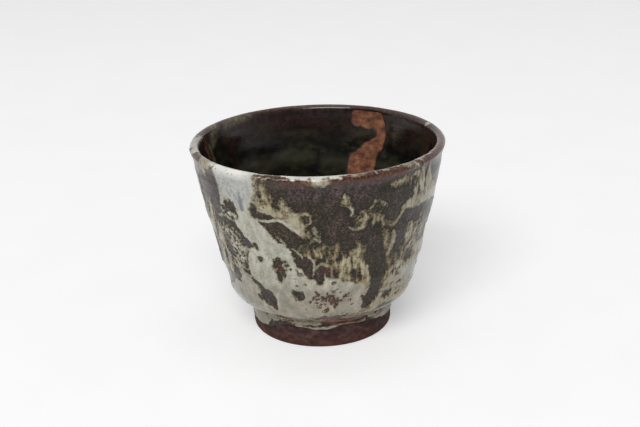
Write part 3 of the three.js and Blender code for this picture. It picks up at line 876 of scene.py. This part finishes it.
def outside_masks():
    """Masks that the material of the outer glaze reads."""
    rust = tint(RUST, wall_place, 1.0)
    lip_rust = 0.4 + 0.6 * smooth_step(-0.3, 0.4, skin_noise(7.0, seed=16))
    lip_rust *= bell(height, LIP_HEIGHT + 1.2, 2.0)
    past_lip = smooth_step(LIP_HEIGHT + 2.2, LIP_HEIGHT + 5.5, height + 2 * wander)
    fields = {
        "melt": melt,
        "warm": warm,
        "inner": past_lip * (1 - rust),
        "rust": np.clip(rust + lip_rust, 0, 1),
        "fleck": tint(all_round(iron_flecks()), wall_place, 0.5),
        "olive": tint(all_round(OLIVE), wall_place, 2.5),
        "blue": tint(BLUE, wall_place, 0.6),
        "cool_sheen": cool_sheen,
        "brick": tint(all_round(BRICK), wall_place, 1.2),
        # Painted shade on the lower wall, which darkens and browns the pale glaze there
        "low": smooth_step(46, 25, inner_height + 6 * wander) * on_outside,
        "lip": bell(height, LIP_HEIGHT + 2, 3),
        # Painted highlight along the crown of the lip
        "crown_highlight": bell(height, LIP_HEIGHT + 1.7, 2.0),
        "tan": tint(TAN, wall_place, 2.2),
        "mauve_and_sheen": tint(all_round(MAUVE_AND_SHEEN), wall_place, 4.0),
        "streaked": tint(all_round(STREAKED), wall_place, 3.0),
    }
    return {key: np.broadcast_to(values, melt.shape) for key, values in fields.items()}


def inside_masks():
    """Masks that the material of the liner reads."""
    upper_brown = smooth_step(64, 82, inner_height + 4 * wander) * (1 - 0.8 * bell(angle, -114, 14))
    return {
        "bare": bare,
        "rust": np.clip(tint(LINER_RUST, inner_place, 1.2) + upper_brown, 0, 1),
        "pale_and_highlight": tint(LINER_PALE_AND_HIGHLIGHT, inner_place, 1.6),
        "brown": tint(LINER_BROWN, inner_place, 1.4),
        "olive_and_sheen": tint(LINER_OLIVE_AND_SHEEN, inner_place, 3.5),
    }


wander = 0.5 * skin_noise(3.0, seed=5)
wall_place = (angle + wander / per_degree, height + wander, per_degree)
cool_sheen = tint(COOL_SHEEN, wall_place, 5.0)
melt, warm = broken_glaze()

inner_wander = 0.5 * wander + 0.35 * skin_noise(1.6, seed=6)
inner_place = (angle + inner_wander / per_degree, inner_height + inner_wander, per_degree)
bare = np.max([depth_in(stroke, *inner_place) for stroke in BARE], axis=0)

outer_fields = outside_masks()
liner_fields = inside_masks()


def outside_offset():
    """Coat, throwing ridges, turning lines and poured glaze of the outside."""
    ridges = sum(lift * bell(inner_height, up, spread) for up, lift, spread in RIDGES)
    turning = 0.02 * np.sin(inner_height * 2.1 + radians) + 0.08 * skin_noise(9.0, seed=21)
    relief = POUR * smooth_step(0.15, 0.9, melt) + 0.08 * bell(melt, 0.6, 0.25)
    relief *= smooth_step(LIP_HEIGHT + 1.5, LIP_HEIGHT - 1.5, height) * 0.85 + 0.15
    return COAT + ridges + turning + relief + 0.03 * skin_noise(1.6, seed=22)


def apron_offset(outside):
    """The apron, which thickens to its lower edge and sinks into the clay below it."""
    edge = np.interp(angle, *zip(*APRON_EDGE), period=360)
    edge = edge + 0.35 * skin_noise(4.0, seed=24, scale=(1, 1, 0))
    above = inner_height - edge
    shown = smooth_step(-0.35, 0.5, above)
    return SUNK + (outside - 0.15 - SUNK) * shown + 0.22 * bell(above, 0.6, 0.5)


def liner_offset():
    """The liner, with faint throwing rings on the wall."""
    rings = 0.03 * np.sin(inner_height * 0.78 + radians) * smooth_step(12, 24, radius)
    rings = rings + 0.05 * skin_noise(12.0, seed=25)
    return COAT + rings * smooth_step(LIP_HEIGHT, LIP_HEIGHT - 10, inner_height)


def skin_offset():
    """Distance of the glaze's surface from the clay's, along the normal."""
    on_inside = (np.arange(len(section)) > lip_row)[:, None]
    outside = outside_offset()
    shape = np.where((inner_height < BASE_TOP) & ~on_inside, apron_offset(outside), outside)
    to_liner = on_inside * smooth_step(LIP_HEIGHT + 0.5, LIP_HEIGHT - 3.5, inner_height)
    shape = shape + (liner_offset() - shape) * to_liner
    below_lip = on_inside * smooth_step(LIP_HEIGHT + 0.6, LIP_HEIGHT - 0.6, inner_height)
    for level, start, end in ((THINNED, -REACH, -0.8), (SUNK, -0.8, 0.5)):
        shape = shape + (level - shape) * below_lip * smooth_step(start, end, bare)
    return shape


def placed(points, normals, distance, turn_angle):
    """Points of a turned surface, moved off it along its normals, in metres."""
    r = points[:, :1] + normals[:, :1] * distance
    z = points[:, 1:] + normals[:, 1:] * distance
    z = np.broadcast_to(z, (len(points), turn_angle.shape[1]))
    r = np.broadcast_to(r, z.shape)
    return np.stack([r * np.sin(turn_angle), -r * np.cos(turn_angle), z], axis=-1) * MM


def surface_normals(grid):
    """Smooth normals of a grid that closes on itself round the axis."""
    ring = np.concatenate([grid[:, -1:], grid, grid[:, :1]], axis=1)
    round_way = ring[:, 2:] - ring[:, :-2]
    up_way = np.gradient(grid, axis=0)
    normals = np.cross(round_way, up_way)
    return normals / np.maximum(np.linalg.norm(normals, axis=-1, keepdims=True), LEAST_AREA)


normal_out = outward(section)
skin = placed(section, normal_out, skin_offset(), radians)
skin_normals = surface_normals(skin)
skin_back = placed(section, normal_out, np.full((1, 1), BACKING), radians)


# Meshes

def strip(lower, upper, columns):
    """Faces between two rows of vertices, given by the first vertex of each row."""
    here = np.arange(columns)
    there = (here + 1) % columns
    return np.stack([lower + here, lower + there, upper + there, upper + here], axis=1)


def linked(name, data):
    """A new object of the scene."""
    item = bpy.data.objects.new(name, data)
    bpy.context.scene.collection.objects.link(item)
    return item


def mesh_object(name, vertices, faces, normals, attributes, material):
    """A smooth mesh of four-sided faces, with float attributes on its vertices."""
    mesh = bpy.data.meshes.new(name)
    mesh.vertices.add(len(vertices))
    mesh.vertices.foreach_set("co", vertices.astype(np.float32).ravel())
    mesh.loops.add(faces.size)
    mesh.loops.foreach_set("vertex_index", faces.astype(np.int32).ravel())
    mesh.polygons.add(len(faces))
    mesh.polygons.foreach_set("loop_start", np.arange(0, faces.size, 4, dtype=np.int32))
    mesh.update(calc_edges=True)
    mesh.validate()
    mesh.shade_smooth()
    mesh.set_sharp_from_angle(angle=math.radians(SHARP_ANGLE))
    for key, values in attributes.items():
        layer = mesh.attributes.new(key, "FLOAT", "POINT")
        layer.data.foreach_set("value", values.astype(np.float32).ravel())
    if normals is not None:
        mesh.normals_split_custom_set_from_vertices(normals.tolist())
    mesh.materials.append(material)
    return linked(name, mesh)


def rows_of_coats():
    """First and last row of each coat in the skin's grid."""
    rows = {}
    first = 0
    for name, stretch in COATS.items():
        last = first + len(stretch) - 1
        rows[name] = (first, last)
        first = last
    return rows


def coat_piece(name, fields, material):
    """A closed piece of the glaze skin: its surface, and a plain back inside the clay."""
    first, last = rows_of_coats()[name]
    rows = np.arange(first, last + 1)
    back_rows = np.unique(np.r_[np.arange(first, last, BACK_ROW_STEP), last])
    vertices = np.concatenate([skin[rows].reshape(-1, 3), skin_back[back_rows].reshape(-1, 3)])
    normals = np.concatenate([skin_normals[rows].reshape(-1, 3), -skin_normals[back_rows].reshape(-1, 3)])
    starts = np.arange(len(rows)) * COLUMNS
    back_starts = (len(rows) + np.arange(len(back_rows))) * COLUMNS
    front = [strip(low, high, COLUMNS) for low, high in zip(starts, starts[1:])]
    back = [strip(high, low, COLUMNS) for low, high in zip(back_starts, back_starts[1:])]
    ends = [strip(back_starts[0], starts[0], COLUMNS), strip(starts[-1], back_starts[-1], COLUMNS)]
    attributes = {
        key: np.concatenate([values[rows].ravel(), values[back_rows].ravel()])
        for key, values in fields.items()
    }
    return mesh_object(name, vertices, np.concatenate(front + back + ends), normals, attributes, material)


def turned_piece(name, outline, columns, texture, toasted, material):
    """A closed turned piece from a section that starts and ends on the axis or closes on itself."""
    side = outward(outline)
    turn_angle = np.radians(np.linspace(-180, 180, columns, endpoint=False))[None, :]
    smooth = placed(outline, side, np.zeros((1, 1)), turn_angle) / MM
    grid = placed(outline, side, texture(smooth), turn_angle)
    starts = np.arange(len(outline)) * columns
    faces = [strip(low, high, columns) for low, high in zip(starts, starts[1:])]
    if outline[0, 0] > LEAST_RADIUS:
        faces.append(strip(starts[-1], starts[0], columns))
    attributes = {"toasted": toasted(smooth)}
    return mesh_object(name, grid.reshape(-1, 3), np.concatenate(faces), None, attributes, material)


# Materials. In their functions, s is the shader that is being built.

def srgb(red, green, blue):
    """Linear colour from the 0 to 255 values that a picture shows."""
    channels = (value / 255 for value in (red, green, blue))
    return tuple(c / 12.92 if c <= 0.04045 else ((c + 0.055) / 1.055) ** 2.4 for c in channels) + (1.0,)


class Nodes:
    """A node tree, with short names for the nodes that the materials and the world share.

    A value is a socket of another node, a number, or a colour as three numbers from 0 to 255.
    """

    def __init__(self, tree):
        self.tree = tree

    def new(self, kind):
        """A new node of a kind."""
        return self.tree.nodes.new("ShaderNode" + kind)

    def put(self, socket, value):
        """Link a socket to another one, or set its own value."""
        if isinstance(value, bpy.types.NodeSocket):
            self.tree.links.new(value, socket)
        elif isinstance(value, tuple):
            socket.default_value = srgb(*value)
        else:
            socket.default_value = value

    def fill(self, node, **values):
        """Put values into the inputs of a node, by their names."""
        for name, value in values.items():
            self.put(node.inputs[name.replace("_", " ")], value)

    def math(self, operation, a, b):
        node = self.new("Math")
        node.operation = operation
        self.put(node.inputs[0], a)
        self.put(node.inputs[1], b)
        return node.outputs[0]

    def times(self, a, b):
        return self.math("MULTIPLY", a, b)

    def plus(self, a, b):
        return self.math("ADD", a, b)

    def minus(self, a, b):
        return self.math("SUBTRACT", a, b)

    def greater(self, a, b):
        return self.math("MAXIMUM", a, b)

    def step(self, value, low, high, start=0.0, end=1.0, curve="SMOOTHSTEP"):
        """Climb from the start at a low value to the end at a high one."""
        node = self.new("MapRange")
        node.interpolation_type = curve
        self.fill(node, Value=value, From_Min=low, From_Max=high, To_Min=start, To_Max=end)
        return node.outputs[0]

    def seen_by(self, *kinds):
        """1 for rays of any of the kinds, such as Camera."""
        rays = self.new("LightPath").outputs
        seen = rays["Is %s Ray" % kinds[0]]
        for kind in kinds[1:]:
            seen = self.greater(seen, rays["Is %s Ray" % kind])
        return seen


class Shader(Nodes):
    """A material's node tree."""

    def __init__(self, name):
        self.material = bpy.data.materials.new(name)
        self.material.use_nodes = True
        super().__init__(self.material.node_tree)
        self.surface = self.tree.nodes["Principled BSDF"]
        self.place = self.new("TexCoord").outputs["Object"]

    def attribute(self, name):
        node = self.new("Attribute")
        node.attribute_name = name
        return node.outputs["Fac"]

    def noise(self, grain, detail=2.0, stretch=1.0, seed=0.0):
        """Noise with grains of a size in millimetres, drawn out down the wall by the stretch."""
        mapping = self.new("Mapping")
        self.put(mapping.inputs["Vector"], self.place)
        mapping.inputs["Scale"].default_value = (1, 1, 1 / stretch)
        mapping.inputs["Location"].default_value = (seed, seed * 0.7, -seed)
        node = self.new("TexNoise")
        self.fill(node, Vector=mapping.outputs[0], Scale=1 / (grain * MM), Detail=detail)
        return node.outputs["Fac"]

    def mix(self, share, a, b):
        """Colour a, with a share of colour b over it."""
        node = self.new("Mix")
        node.data_type = "RGBA"
        self.put(node.inputs["Factor"], share)
        self.put(node.inputs[6], a)
        self.put(node.inputs[7], b)
        return node.outputs[2]

    def ramp(self, value, *stops):
        """Colours along a value, from stops of a position and a colour."""
        node = self.new("ValToRGB")
        self.put(node.inputs["Fac"], value)
        elements = node.color_ramp.elements
        for element, (position, colour) in zip(elements, (stops[0], stops[-1])):
            element.position = position
            element.color = srgb(*colour)
        for position, colour in stops[1:-1]:
            elements.new(position).color = srgb(*colour)
        return node.outputs["Color"]

    def bump(self, value, depth):
        """Fine relief, with its depth in millimetres."""
        node = self.new("Bump")
        self.fill(node, Distance=depth * MM, Height=value)
        self.put(self.surface.inputs["Normal"], node.outputs[0])

    def brighten(self, share, level):
        """Let a share shine at a level where it is seen directly, in a reflection or through glass."""
        seen = self.seen_by("Camera", "Glossy", "Transmission")
        shine = self.new("Emission")
        self.fill(shine, Strength=level)
        blend = self.new("MixShader")
        self.put(blend.inputs[0], self.times(seen, share))
        self.put(blend.inputs[1], self.surface.outputs[0])
        self.put(blend.inputs[2], shine.outputs[0])
        self.put(self.tree.nodes["Material Output"].inputs["Surface"], blend.outputs[0])


class OuterGlaze(Shader):
    """The outer glaze's nodes, with the noises and masks that several of its colours share."""

    def __init__(self, name):
        super().__init__(name)
        self.fine = self.noise(0.9, detail=3.0)
        self.speck = self.noise(0.8, detail=1.0, seed=4.2)
        self.grain = self.noise(1.5, seed=2.3)
        self.runs = self.noise(1.4, stretch=6.0, seed=0.3)
        self.blotch = self.noise(2.2, detail=4.0, stretch=1.6, seed=0.7)
        self.cloud = self.noise(3.0, detail=4.0, stretch=2.0, seed=1.1)
        self.warm = self.attribute("warm")
        self.cool_sheen = self.attribute("cool_sheen")
        self.olive = self.attribute("olive")
        self.fleck = self.times(self.attribute("fleck"), self.step(self.fine, 0.3, 0.5))
        self.rusty = self.greater(self.attribute("rust"), self.times(self.fleck, 0.8))
        self.rust = self.ramp(self.fine, (0.3, (40, 22, 17)), (0.5, (77, 43, 33)), (0.7, (120, 73, 52)))


def melted_thickness(s):
    """Thickness of the pale glaze, broken up by noise, pits and iron flecks."""
    cold = s.minus(1.0, s.warm)
    reaches = (
        (s.fine, s.plus(s.times(cold, 0.8), 0.25)),
        (s.grain, 0.3),
        (s.runs, s.plus(s.times(s.warm, 0.3), 0.1)),
        (s.runs, s.times(s.attribute("streaked"), 1.3)),
    )
    thickness = s.attribute("melt")
    for source, reach in reaches:
        thickness = s.plus(thickness, s.times(s.minus(source, 0.5), reach))
    pits = s.step(s.noise(1.1, detail=1.0, seed=1.9), 0.68, 0.76)
    thickness = s.minus(thickness, s.times(pits, s.step(s.cool_sheen, 0.0, 1.0, 0.5, 0.1)))
    return s.minus(thickness, s.fleck)


def dark_coat(s):
    """Brown and purple iron coat with black and pale specks, olive in places, and rust."""
    colour = s.ramp(
        s.blotch, (0.3, (37, 31, 19)), (0.45, (56, 45, 35)), (0.6, (76, 58, 55)), (0.75, (96, 75, 71)),
    )
    olive = s.ramp(s.runs, (0.35, (30, 26, 15)), (0.6, (62, 53, 33)))
    colour = s.mix(s.times(s.olive, 0.75), colour, olive)
    # Mauve tint, partly painted sheen at the far edges
    mauve_and_sheen = s.ramp(s.blotch, (0.35, (58, 47, 48)), (0.65, (96, 83, 86)))
    colour = s.mix(s.times(s.attribute("mauve_and_sheen"), 0.65), colour, mauve_and_sheen)
    colour = s.mix(s.step(s.speck, 0.48, 0.62, 0.0, 0.85), colour, (19, 17, 10))
    lights = s.times(s.step(s.speck, 0.4, 0.3), s.step(s.olive, 0.0, 1.0, 0.28, 0.5))
    colour = s.mix(lights, colour, (112, 107, 82))
    return s.mix(s.times(s.rusty, 0.9), colour, s.rust)


def white_glaze(s):
    """Thick pale glaze: cloudy grey white, cream where warm, darker and browner low down as painted
    shade, cold on the panel with painted sheen, and a painted highlight on the lip's crown.
    """
    colour = s.ramp(s.cloud, (0.3, (148, 150, 133)), (0.5, (174, 172, 157)), (0.7, (202, 195, 181)))
    colour = s.mix(s.step(s.fine, 0.4, 0.7, 0.0, 0.5), colour, (198, 194, 183))
    colour = s.mix(s.step(s.grain, 0.56, 0.72, 0.0, 0.4), colour, (122, 118, 102))
    cream = s.ramp(s.cloud, (0.3, (150, 141, 115)), (0.5, (174, 165, 140)), (0.7, (192, 183, 160)))
    colour = s.mix(s.step(s.warm, 0.1, 0.7, 0.0, 0.8), colour, cream)
    # Painted shade: the pale glaze darker and browner low down on the wall
    brown = s.ramp(s.cloud, (0.3, (104, 97, 82)), (0.5, (132, 125, 110)), (0.7, (164, 152, 138)))
    colour = s.mix(s.times(s.attribute("low"), 0.7), colour, brown)
    # Cold white on the panel and along the near lip, partly painted sheen
    cold = s.ramp(s.grain, (0.3, (206, 206, 205)), (0.7, (158, 159, 162)))
    colour = s.mix(s.times(s.cool_sheen, 0.7), colour, cold)
    mottled = s.step(s.fine, 0.46, 0.66, 0.0, 0.6)
    colour = s.mix(s.times(s.cool_sheen, mottled), colour, (134, 135, 138))
    # Painted highlight: the crown of the lip nearly white where the cold white lies
    colour = s.mix(s.times(s.cool_sheen, s.attribute("crown_highlight")), colour, (242, 240, 233))
    return s.mix(s.times(s.attribute("blue"), 0.85), colour, (102, 106, 118))


def layered_glaze(s, thickness):
    """Colour of the glaze by its thickness, from the dark coat to white."""
    shade = s.ramp(s.fine, (0.4, (16, 14, 8)), (0.65, (46, 40, 26)))
    broken = s.mix(
        s.warm,
        s.ramp(s.fine, (0.35, (70, 66, 49)), (0.65, (104, 100, 80))),
        s.ramp(s.fine, (0.35, (60, 49, 30)), (0.65, (92, 77, 52))),
    )
    thin = s.mix(
        s.warm,
        s.ramp(s.grain, (0.3, (118, 113, 93)), (0.7, (140, 132, 112))),
        s.ramp(s.runs, (0.3, (108, 93, 65)), (0.7, (148, 131, 98))),
    )
    middle = s.mix(
        s.warm,
        s.ramp(s.grain, (0.3, (142, 139, 120)), (0.7, (166, 159, 141))),
        s.ramp(s.runs, (0.3, (144, 135, 107)), (0.7, (178, 169, 142))),
    )
    # Each layer with the thickness at which it starts and the one at which it covers
    layers = (
        (shade, 0.02, 0.14), (broken, 0.18, 0.34), (thin, 0.32, 0.5), (middle, 0.48, 0.7),
        (white_glaze(s), 0.68, 0.95),
    )
    colour = dark_coat(s)
    for layer, start, covered in layers:
        colour = s.mix(s.step(thickness, start, covered), colour, layer)
    return colour


def outside_glaze(name, shine):
    """Pale ash glaze broken over a dark iron coat, rust where either runs thin over the lip."""
    s = OuterGlaze(name)
    melt = melted_thickness(s)
    colour = layered_glaze(s, melt)
    colour = s.mix(s.times(s.rusty, s.step(melt, 0.9, 0.3, 0.1, 0.75)), colour, s.rust)
    lines = s.noise(7.0, stretch=0.11, seed=5.3)
    brick = s.ramp(lines, (0.35, (66, 40, 34)), (0.5, (112, 73, 61)), (0.65, (154, 114, 97)))
    colour = s.mix(s.times(s.attribute("brick"), s.step(melt, 0.8, 0.3, 0.1, 0.85)), colour, brick)
    inner = s.ramp(s.blotch, (0.3, (14, 10, 10)), (0.7, (52, 33, 31)))
    colour = s.mix(s.times(s.attribute("inner"), s.step(melt, 0.36, 0.12)), colour, inner)
    tan = s.ramp(s.grain, (0.3, (78, 68, 49)), (0.7, (138, 129, 104)))
    colour = s.mix(s.times(s.attribute("tan"), s.step(s.cloud, 0.3, 0.6, 0.4, 0.9)), colour, tan)
    glassy = s.step(melt, 0.2, 0.8)
    satin = s.minus(s.step(glassy, 0.0, 1.0, 0.24, 0.16), s.times(s.attribute("lip"), 0.09))
    s.fill(s.surface, Base_Color=colour, Roughness=satin, Specular_IOR_Level=shine)
    s.bump(s.plus(s.times(glassy, 0.5), s.times(s.blotch, 0.5)), 0.1)
    return s.material


def liner_glaze():
    """Glossy black-olive glaze, brown where it thins near the lip."""
    s = Shader("liner_glaze")
    blotch = s.noise(4.0, detail=3.0, stretch=0.6)
    fine = s.noise(0.8, seed=0.4)
    wide = s.noise(15.0, detail=3.0, stretch=0.6, seed=0.9)
    clouds = s.plus(s.times(blotch, 0.4), s.times(wide, 0.6))
    colour = s.ramp(clouds, (0.38, (8, 8, 9)), (0.5, (22, 22, 17)), (0.62, (45, 44, 28)))
    rust = s.ramp(fine, (0.3, (22, 14, 12)), (0.7, (62, 37, 30)))
    colour = s.mix(s.times(s.attribute("rust"), s.step(blotch, 0.35, 0.65, 0.3, 0.9)), colour, rust)
    # Pale glaze, and a painted highlight beside the brown streak
    pale_and_highlight = s.times(s.attribute("pale_and_highlight"), s.step(blotch, 0.3, 0.7, 0.4, 1.0))
    colour = s.mix(pale_and_highlight, colour, (118, 112, 88))
    # Olive streaks that are partly a painted reflection
    colour = s.mix(s.times(s.attribute("olive_and_sheen"), 0.7), colour, (66, 64, 51))
    brown = s.ramp(fine, (0.3, (84, 52, 41)), (0.7, (128, 88, 72)))
    colour = s.mix(s.attribute("brown"), colour, brown)
    rim = s.step(s.attribute("bare"), -1.2, -0.5)
    colour = s.mix(s.times(rim, 0.6), colour, (46, 28, 21))
    gloss = s.step(rim, 0.0, 1.0, 0.13, 0.75)
    s.fill(s.surface, Base_Color=colour, Roughness=gloss, Specular_IOR_Level=LINER_SHINE)
    s.bump(blotch, 0.06)
    return s.material


def bare_clay(name, shadow, middle, light, grain_depth):
    """Matt fired clay with iron specks and sandy grain, darker where the foot was toasted."""
    s = Shader(name)
    cloud = s.noise(3.0, detail=5.0, stretch=0.7)
    grain = s.noise(0.55, detail=3.0, seed=0.6)
    specks = s.noise(0.9, detail=1.0, seed=1.4)
    colour = s.ramp(cloud, (0.32, shadow), (0.5, middle), (0.68, light))
    colour = s.mix(s.step(grain, 0.35, 0.7, 0.0, 0.18), colour, light)
    colour = s.mix(s.step(specks, 0.62, 0.72, 0.0, 0.3), colour, (40, 27, 24))
    toasted = s.ramp(cloud, (0.35, (44, 30, 30)), (0.5, (60, 43, 42)), (0.65, (82, 62, 58)))
    colour = s.mix(s.times(s.attribute("toasted"), s.step(grain, 0.3, 0.7, 1.0, 0.7)), colour, toasted)
    matt = s.step(grain, 0.3, 0.7, 0.72, 0.9)
    s.fill(s.surface, Base_Color=colour, Roughness=matt, Specular_IOR_Level=CLAY_SHINE)
    s.bump(grain, grain_depth)
    return s.material


# Pieces

def bowl_outline():
    """The bowl's clay, from the middle of its underside round to the middle of its floor."""
    base_side = FOOT_RADIUS - BASE_TUCK
    return spaced(joined(
        line((AXIS_GAP, FOOT_RING_HEIGHT), (base_side, FOOT_RING_HEIGHT)),
        line((base_side, FOOT_RING_HEIGHT), (base_side, LAP_TOP - BASE_TUCK)),
        line((base_side, LAP_TOP - BASE_TUCK), fillet_low),
        bend(fillet_low, base_corner, fillet_high),
        wall_side, lip_side, liner_side,
    ), CLAY_SPACING)


def bowl_texture(at):
    """Sandy grain of the bowl's clay."""
    return 0.05 * noise(at, 1.8, seed=41) + 0.04 * noise(at, 6.0, seed=42)


def toasted_base(at):
    """Clay of the bowl near the foot, but not its floor inside."""
    outer = np.hypot(at[..., 0], at[..., 1]) > FOOT_RADIUS - 0.5
    low = at[..., 2] < BASE_TOP
    underside = at[..., 2] < FOOT_RING_HEIGHT + 1
    return np.where(low & outer | underside, 1.0, 0.0)


def bowl_clay():
    """The thrown bowl, in orange-brown clay."""
    clay = bare_clay("bowl_clay", (73, 44, 33), (109, 69, 50), (146, 98, 70), 0.1)
    return turned_piece("bowl_clay", bowl_outline(), CLAY_COLUMNS, bowl_texture, toasted_base, clay)


def foot_outline():
    """The foot's clay, which laps up over the base, so that no seam shows below the glaze."""
    inner = FOOT_RADIUS - FOOT_RING_WIDTH
    lap_inner = FOOT_RADIUS - FOOT_LAP_DEPTH
    return spaced(joined(
        line((inner, FOOT_RING_HEIGHT), (inner, FOOT_BEVEL)),
        bend((inner, FOOT_BEVEL), (inner, 0), (inner + FOOT_BEVEL, 0)),
        line((inner + FOOT_BEVEL, 0), (FOOT_RADIUS - FOOT_BEVEL, 0)),
        bend((FOOT_RADIUS - FOOT_BEVEL, 0), (FOOT_RADIUS, 0), (FOOT_RADIUS, FOOT_BEVEL)),
        line((FOOT_RADIUS, FOOT_BEVEL), (FOOT_RADIUS, LAP_TOP)),
        line((FOOT_RADIUS, LAP_TOP), (lap_inner, LAP_TOP)),
        line((lap_inner, LAP_TOP), (lap_inner, FOOT_RING_HEIGHT)),
    ), FOOT_SPACING)


def foot_texture(at):
    """Turning lines and chips on the foot, kept off its resting face, and small pits all over."""
    up = at[..., 2]
    lines = 0.06 * np.sin(up * 5.2) + 0.05 * noise(at, 1.5, seed=43) + 0.06 * noise(at, 5.0, seed=44)
    chips = 0.12 * smooth_step(0.35, 0.7, noise(at, 2.2, seed=45))
    pits = 0.03 * smooth_step(0, 0.6, noise(at, 1.2, seed=46))
    return (lines - chips) * smooth_step(0.05, 0.8, up) - pits


def toasted_foot(at):
    """Upper part of the foot, where the glaze's fumes darkened the clay."""
    return smooth_step(2.5, 6.0, at[..., 2] + 1.5 * noise(at, 6.0, seed=47))


def foot_clay():
    """The foot ring, in dark rust-brown clay."""
    clay = bare_clay("foot_clay", (50, 30, 27), (68, 41, 35), (92, 57, 46), 0.06)
    return turned_piece("foot_clay", foot_outline(), FOOT_COLUMNS, foot_texture, toasted_foot, clay)


def make_pieces():
    """All the pieces by name; the apron and the wall share their glaze."""
    wall_glaze = outside_glaze("wall_glaze", WALL_SHINE)
    lip_glaze = outside_glaze("lip_glaze", LIP_SHINE)
    return {
        "foot_apron": coat_piece("foot_apron", outer_fields, wall_glaze),
        "wall_coat": coat_piece("wall_coat", outer_fields, wall_glaze),
        "lip_coat": coat_piece("lip_coat", outer_fields, lip_glaze),
        "liner_coat": coat_piece("liner_coat", liner_fields, liner_glaze()),
        "bowl_clay": bowl_clay(),
        "foot_clay": foot_clay(),
    }


# Each piece with a name for its material slot, which nothing here sets, and the nodes that it stands for
STANDS_FOR = {
    "foot_apron": ("apron_coat", ("foot_glaze",)),
    "wall_coat": ("dark_coat", (
        "outer_glaze", "pale_pour_front", "pale_pour_upper", "pale_pour_right", "pale_pour_back",
        "pale_pour_far_left",
    )),
    "lip_coat": ("lip_coat", ("rim_glaze",)),
    "liner_coat": ("liner_coat", ("liner_glaze",)),
    "bowl_clay": ("bare_clay", ("clay_bowl",)),
    "foot_clay": ("foot_clay", ("foot_ring",)),
}
pieces = make_pieces()
for piece_name, (slot, nodes) in STANDS_FOR.items():
    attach(pieces[piece_name], "root")
    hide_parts(*nodes)


# Stage, light and camera

def add_floor():
    """A plain pale floor."""
    corners = [(-1, -1), (1, -1), (1, 1), (-1, 1)]
    mesh = bpy.data.meshes.new("floor")
    mesh.from_pydata([(x * FLOOR_HALF, y * FLOOR_HALF, 0) for x, y in corners], [], [(0, 1, 2, 3)])
    floor = linked("floor", mesh)
    s = Shader("floor_paper")
    paper = s.ramp(s.noise(40.0), (0.3, (243, 243, 244)), (0.7, (246, 246, 247)))
    s.fill(s.surface, Base_Color=paper, Roughness=FLOOR_ROUGHNESS, Specular_IOR_Level=FLOOR_SHINE)
    s.brighten(FLOOR_GLOW, FLOOR_LEVEL)
    mesh.materials.append(s.material)


def add_world():
    """Even pale surroundings for light; seen directly or in a reflection they are a pale room."""
    world = bpy.data.worlds.new("studio")
    bpy.context.scene.world = world
    world.use_nodes = True
    w = Nodes(world.node_tree)
    direction = w.new("SeparateXYZ")
    w.fill(direction, Vector=w.new("TexCoord").outputs["Generated"])
    (front, front_level), (back, back_level) = WORLD_FRONT, WORLD_BACK
    room = w.step(direction.outputs["Y"], front, back, front_level, back_level, curve="LINEAR")
    reflected = w.new("Mix")
    w.fill(reflected, Factor=w.seen_by("Glossy"), A=WORLD_LIGHT, B=room)
    strength = w.new("Mix")
    w.fill(strength, Factor=w.seen_by("Camera", "Transmission"), A=reflected.outputs[0], B=WORLD_SEEN)
    w.fill(w.tree.nodes["Background"], Color=(255, 255, 255), Strength=strength.outputs[0])


def look(place, aim, roll=0.0):
    """Rotation of a camera or lamp at a place, looking at an aim, rolled about its view."""
    back = np.array(place) - np.array(aim)
    back = back / np.linalg.norm(back)
    right = np.cross((0, 0, 1), back)
    right = right / np.linalg.norm(right)
    up = np.cross(back, right)
    turned_right = math.cos(roll) * right - math.sin(roll) * up
    turned_up = math.sin(roll) * right + math.cos(roll) * up
    return Matrix((turned_right, turned_up, back)).transposed().to_euler()


def add_softbox(name, place, width, depth, power):
    """A soft rectangular lamp that looks at the bowl."""
    light = bpy.data.lights.new(name, "AREA")
    light.shape = "RECTANGLE"
    light.size = width
    light.size_y = depth
    light.energy = power
    lamp = linked(name, light)
    lamp.location = place
    lamp.rotation_euler = look(place, LAMP_AIM)


def add_camera():
    """The photograph's view."""
    data = bpy.data.cameras.new("camera")
    data.sensor_fit = "HORIZONTAL"
    data.sensor_width = SENSOR_WIDTH
    data.lens = FOCAL_PIXELS * SENSOR_WIDTH / IMAGE_WIDTH
    data.clip_start = CAMERA_CLIP
    camera = linked("camera", data)
    rise = math.radians(CAMERA_ELEVATION)
    aim = np.array(CAMERA_AIM) * MM
    place = aim + np.array((0, -math.cos(rise), math.sin(rise))) * CAMERA_DISTANCE * MM
    camera.location = place
    camera.rotation_euler = look(place, aim, math.radians(CAMERA_ROLL))
    bpy.context.scene.camera = camera


add_floor()
add_world()
add_softbox("key_light", *KEY_LIGHT)
add_softbox("top_light", *TOP_LIGHT)
add_camera()
bpy.context.scene.view_settings.view_transform = "Standard"
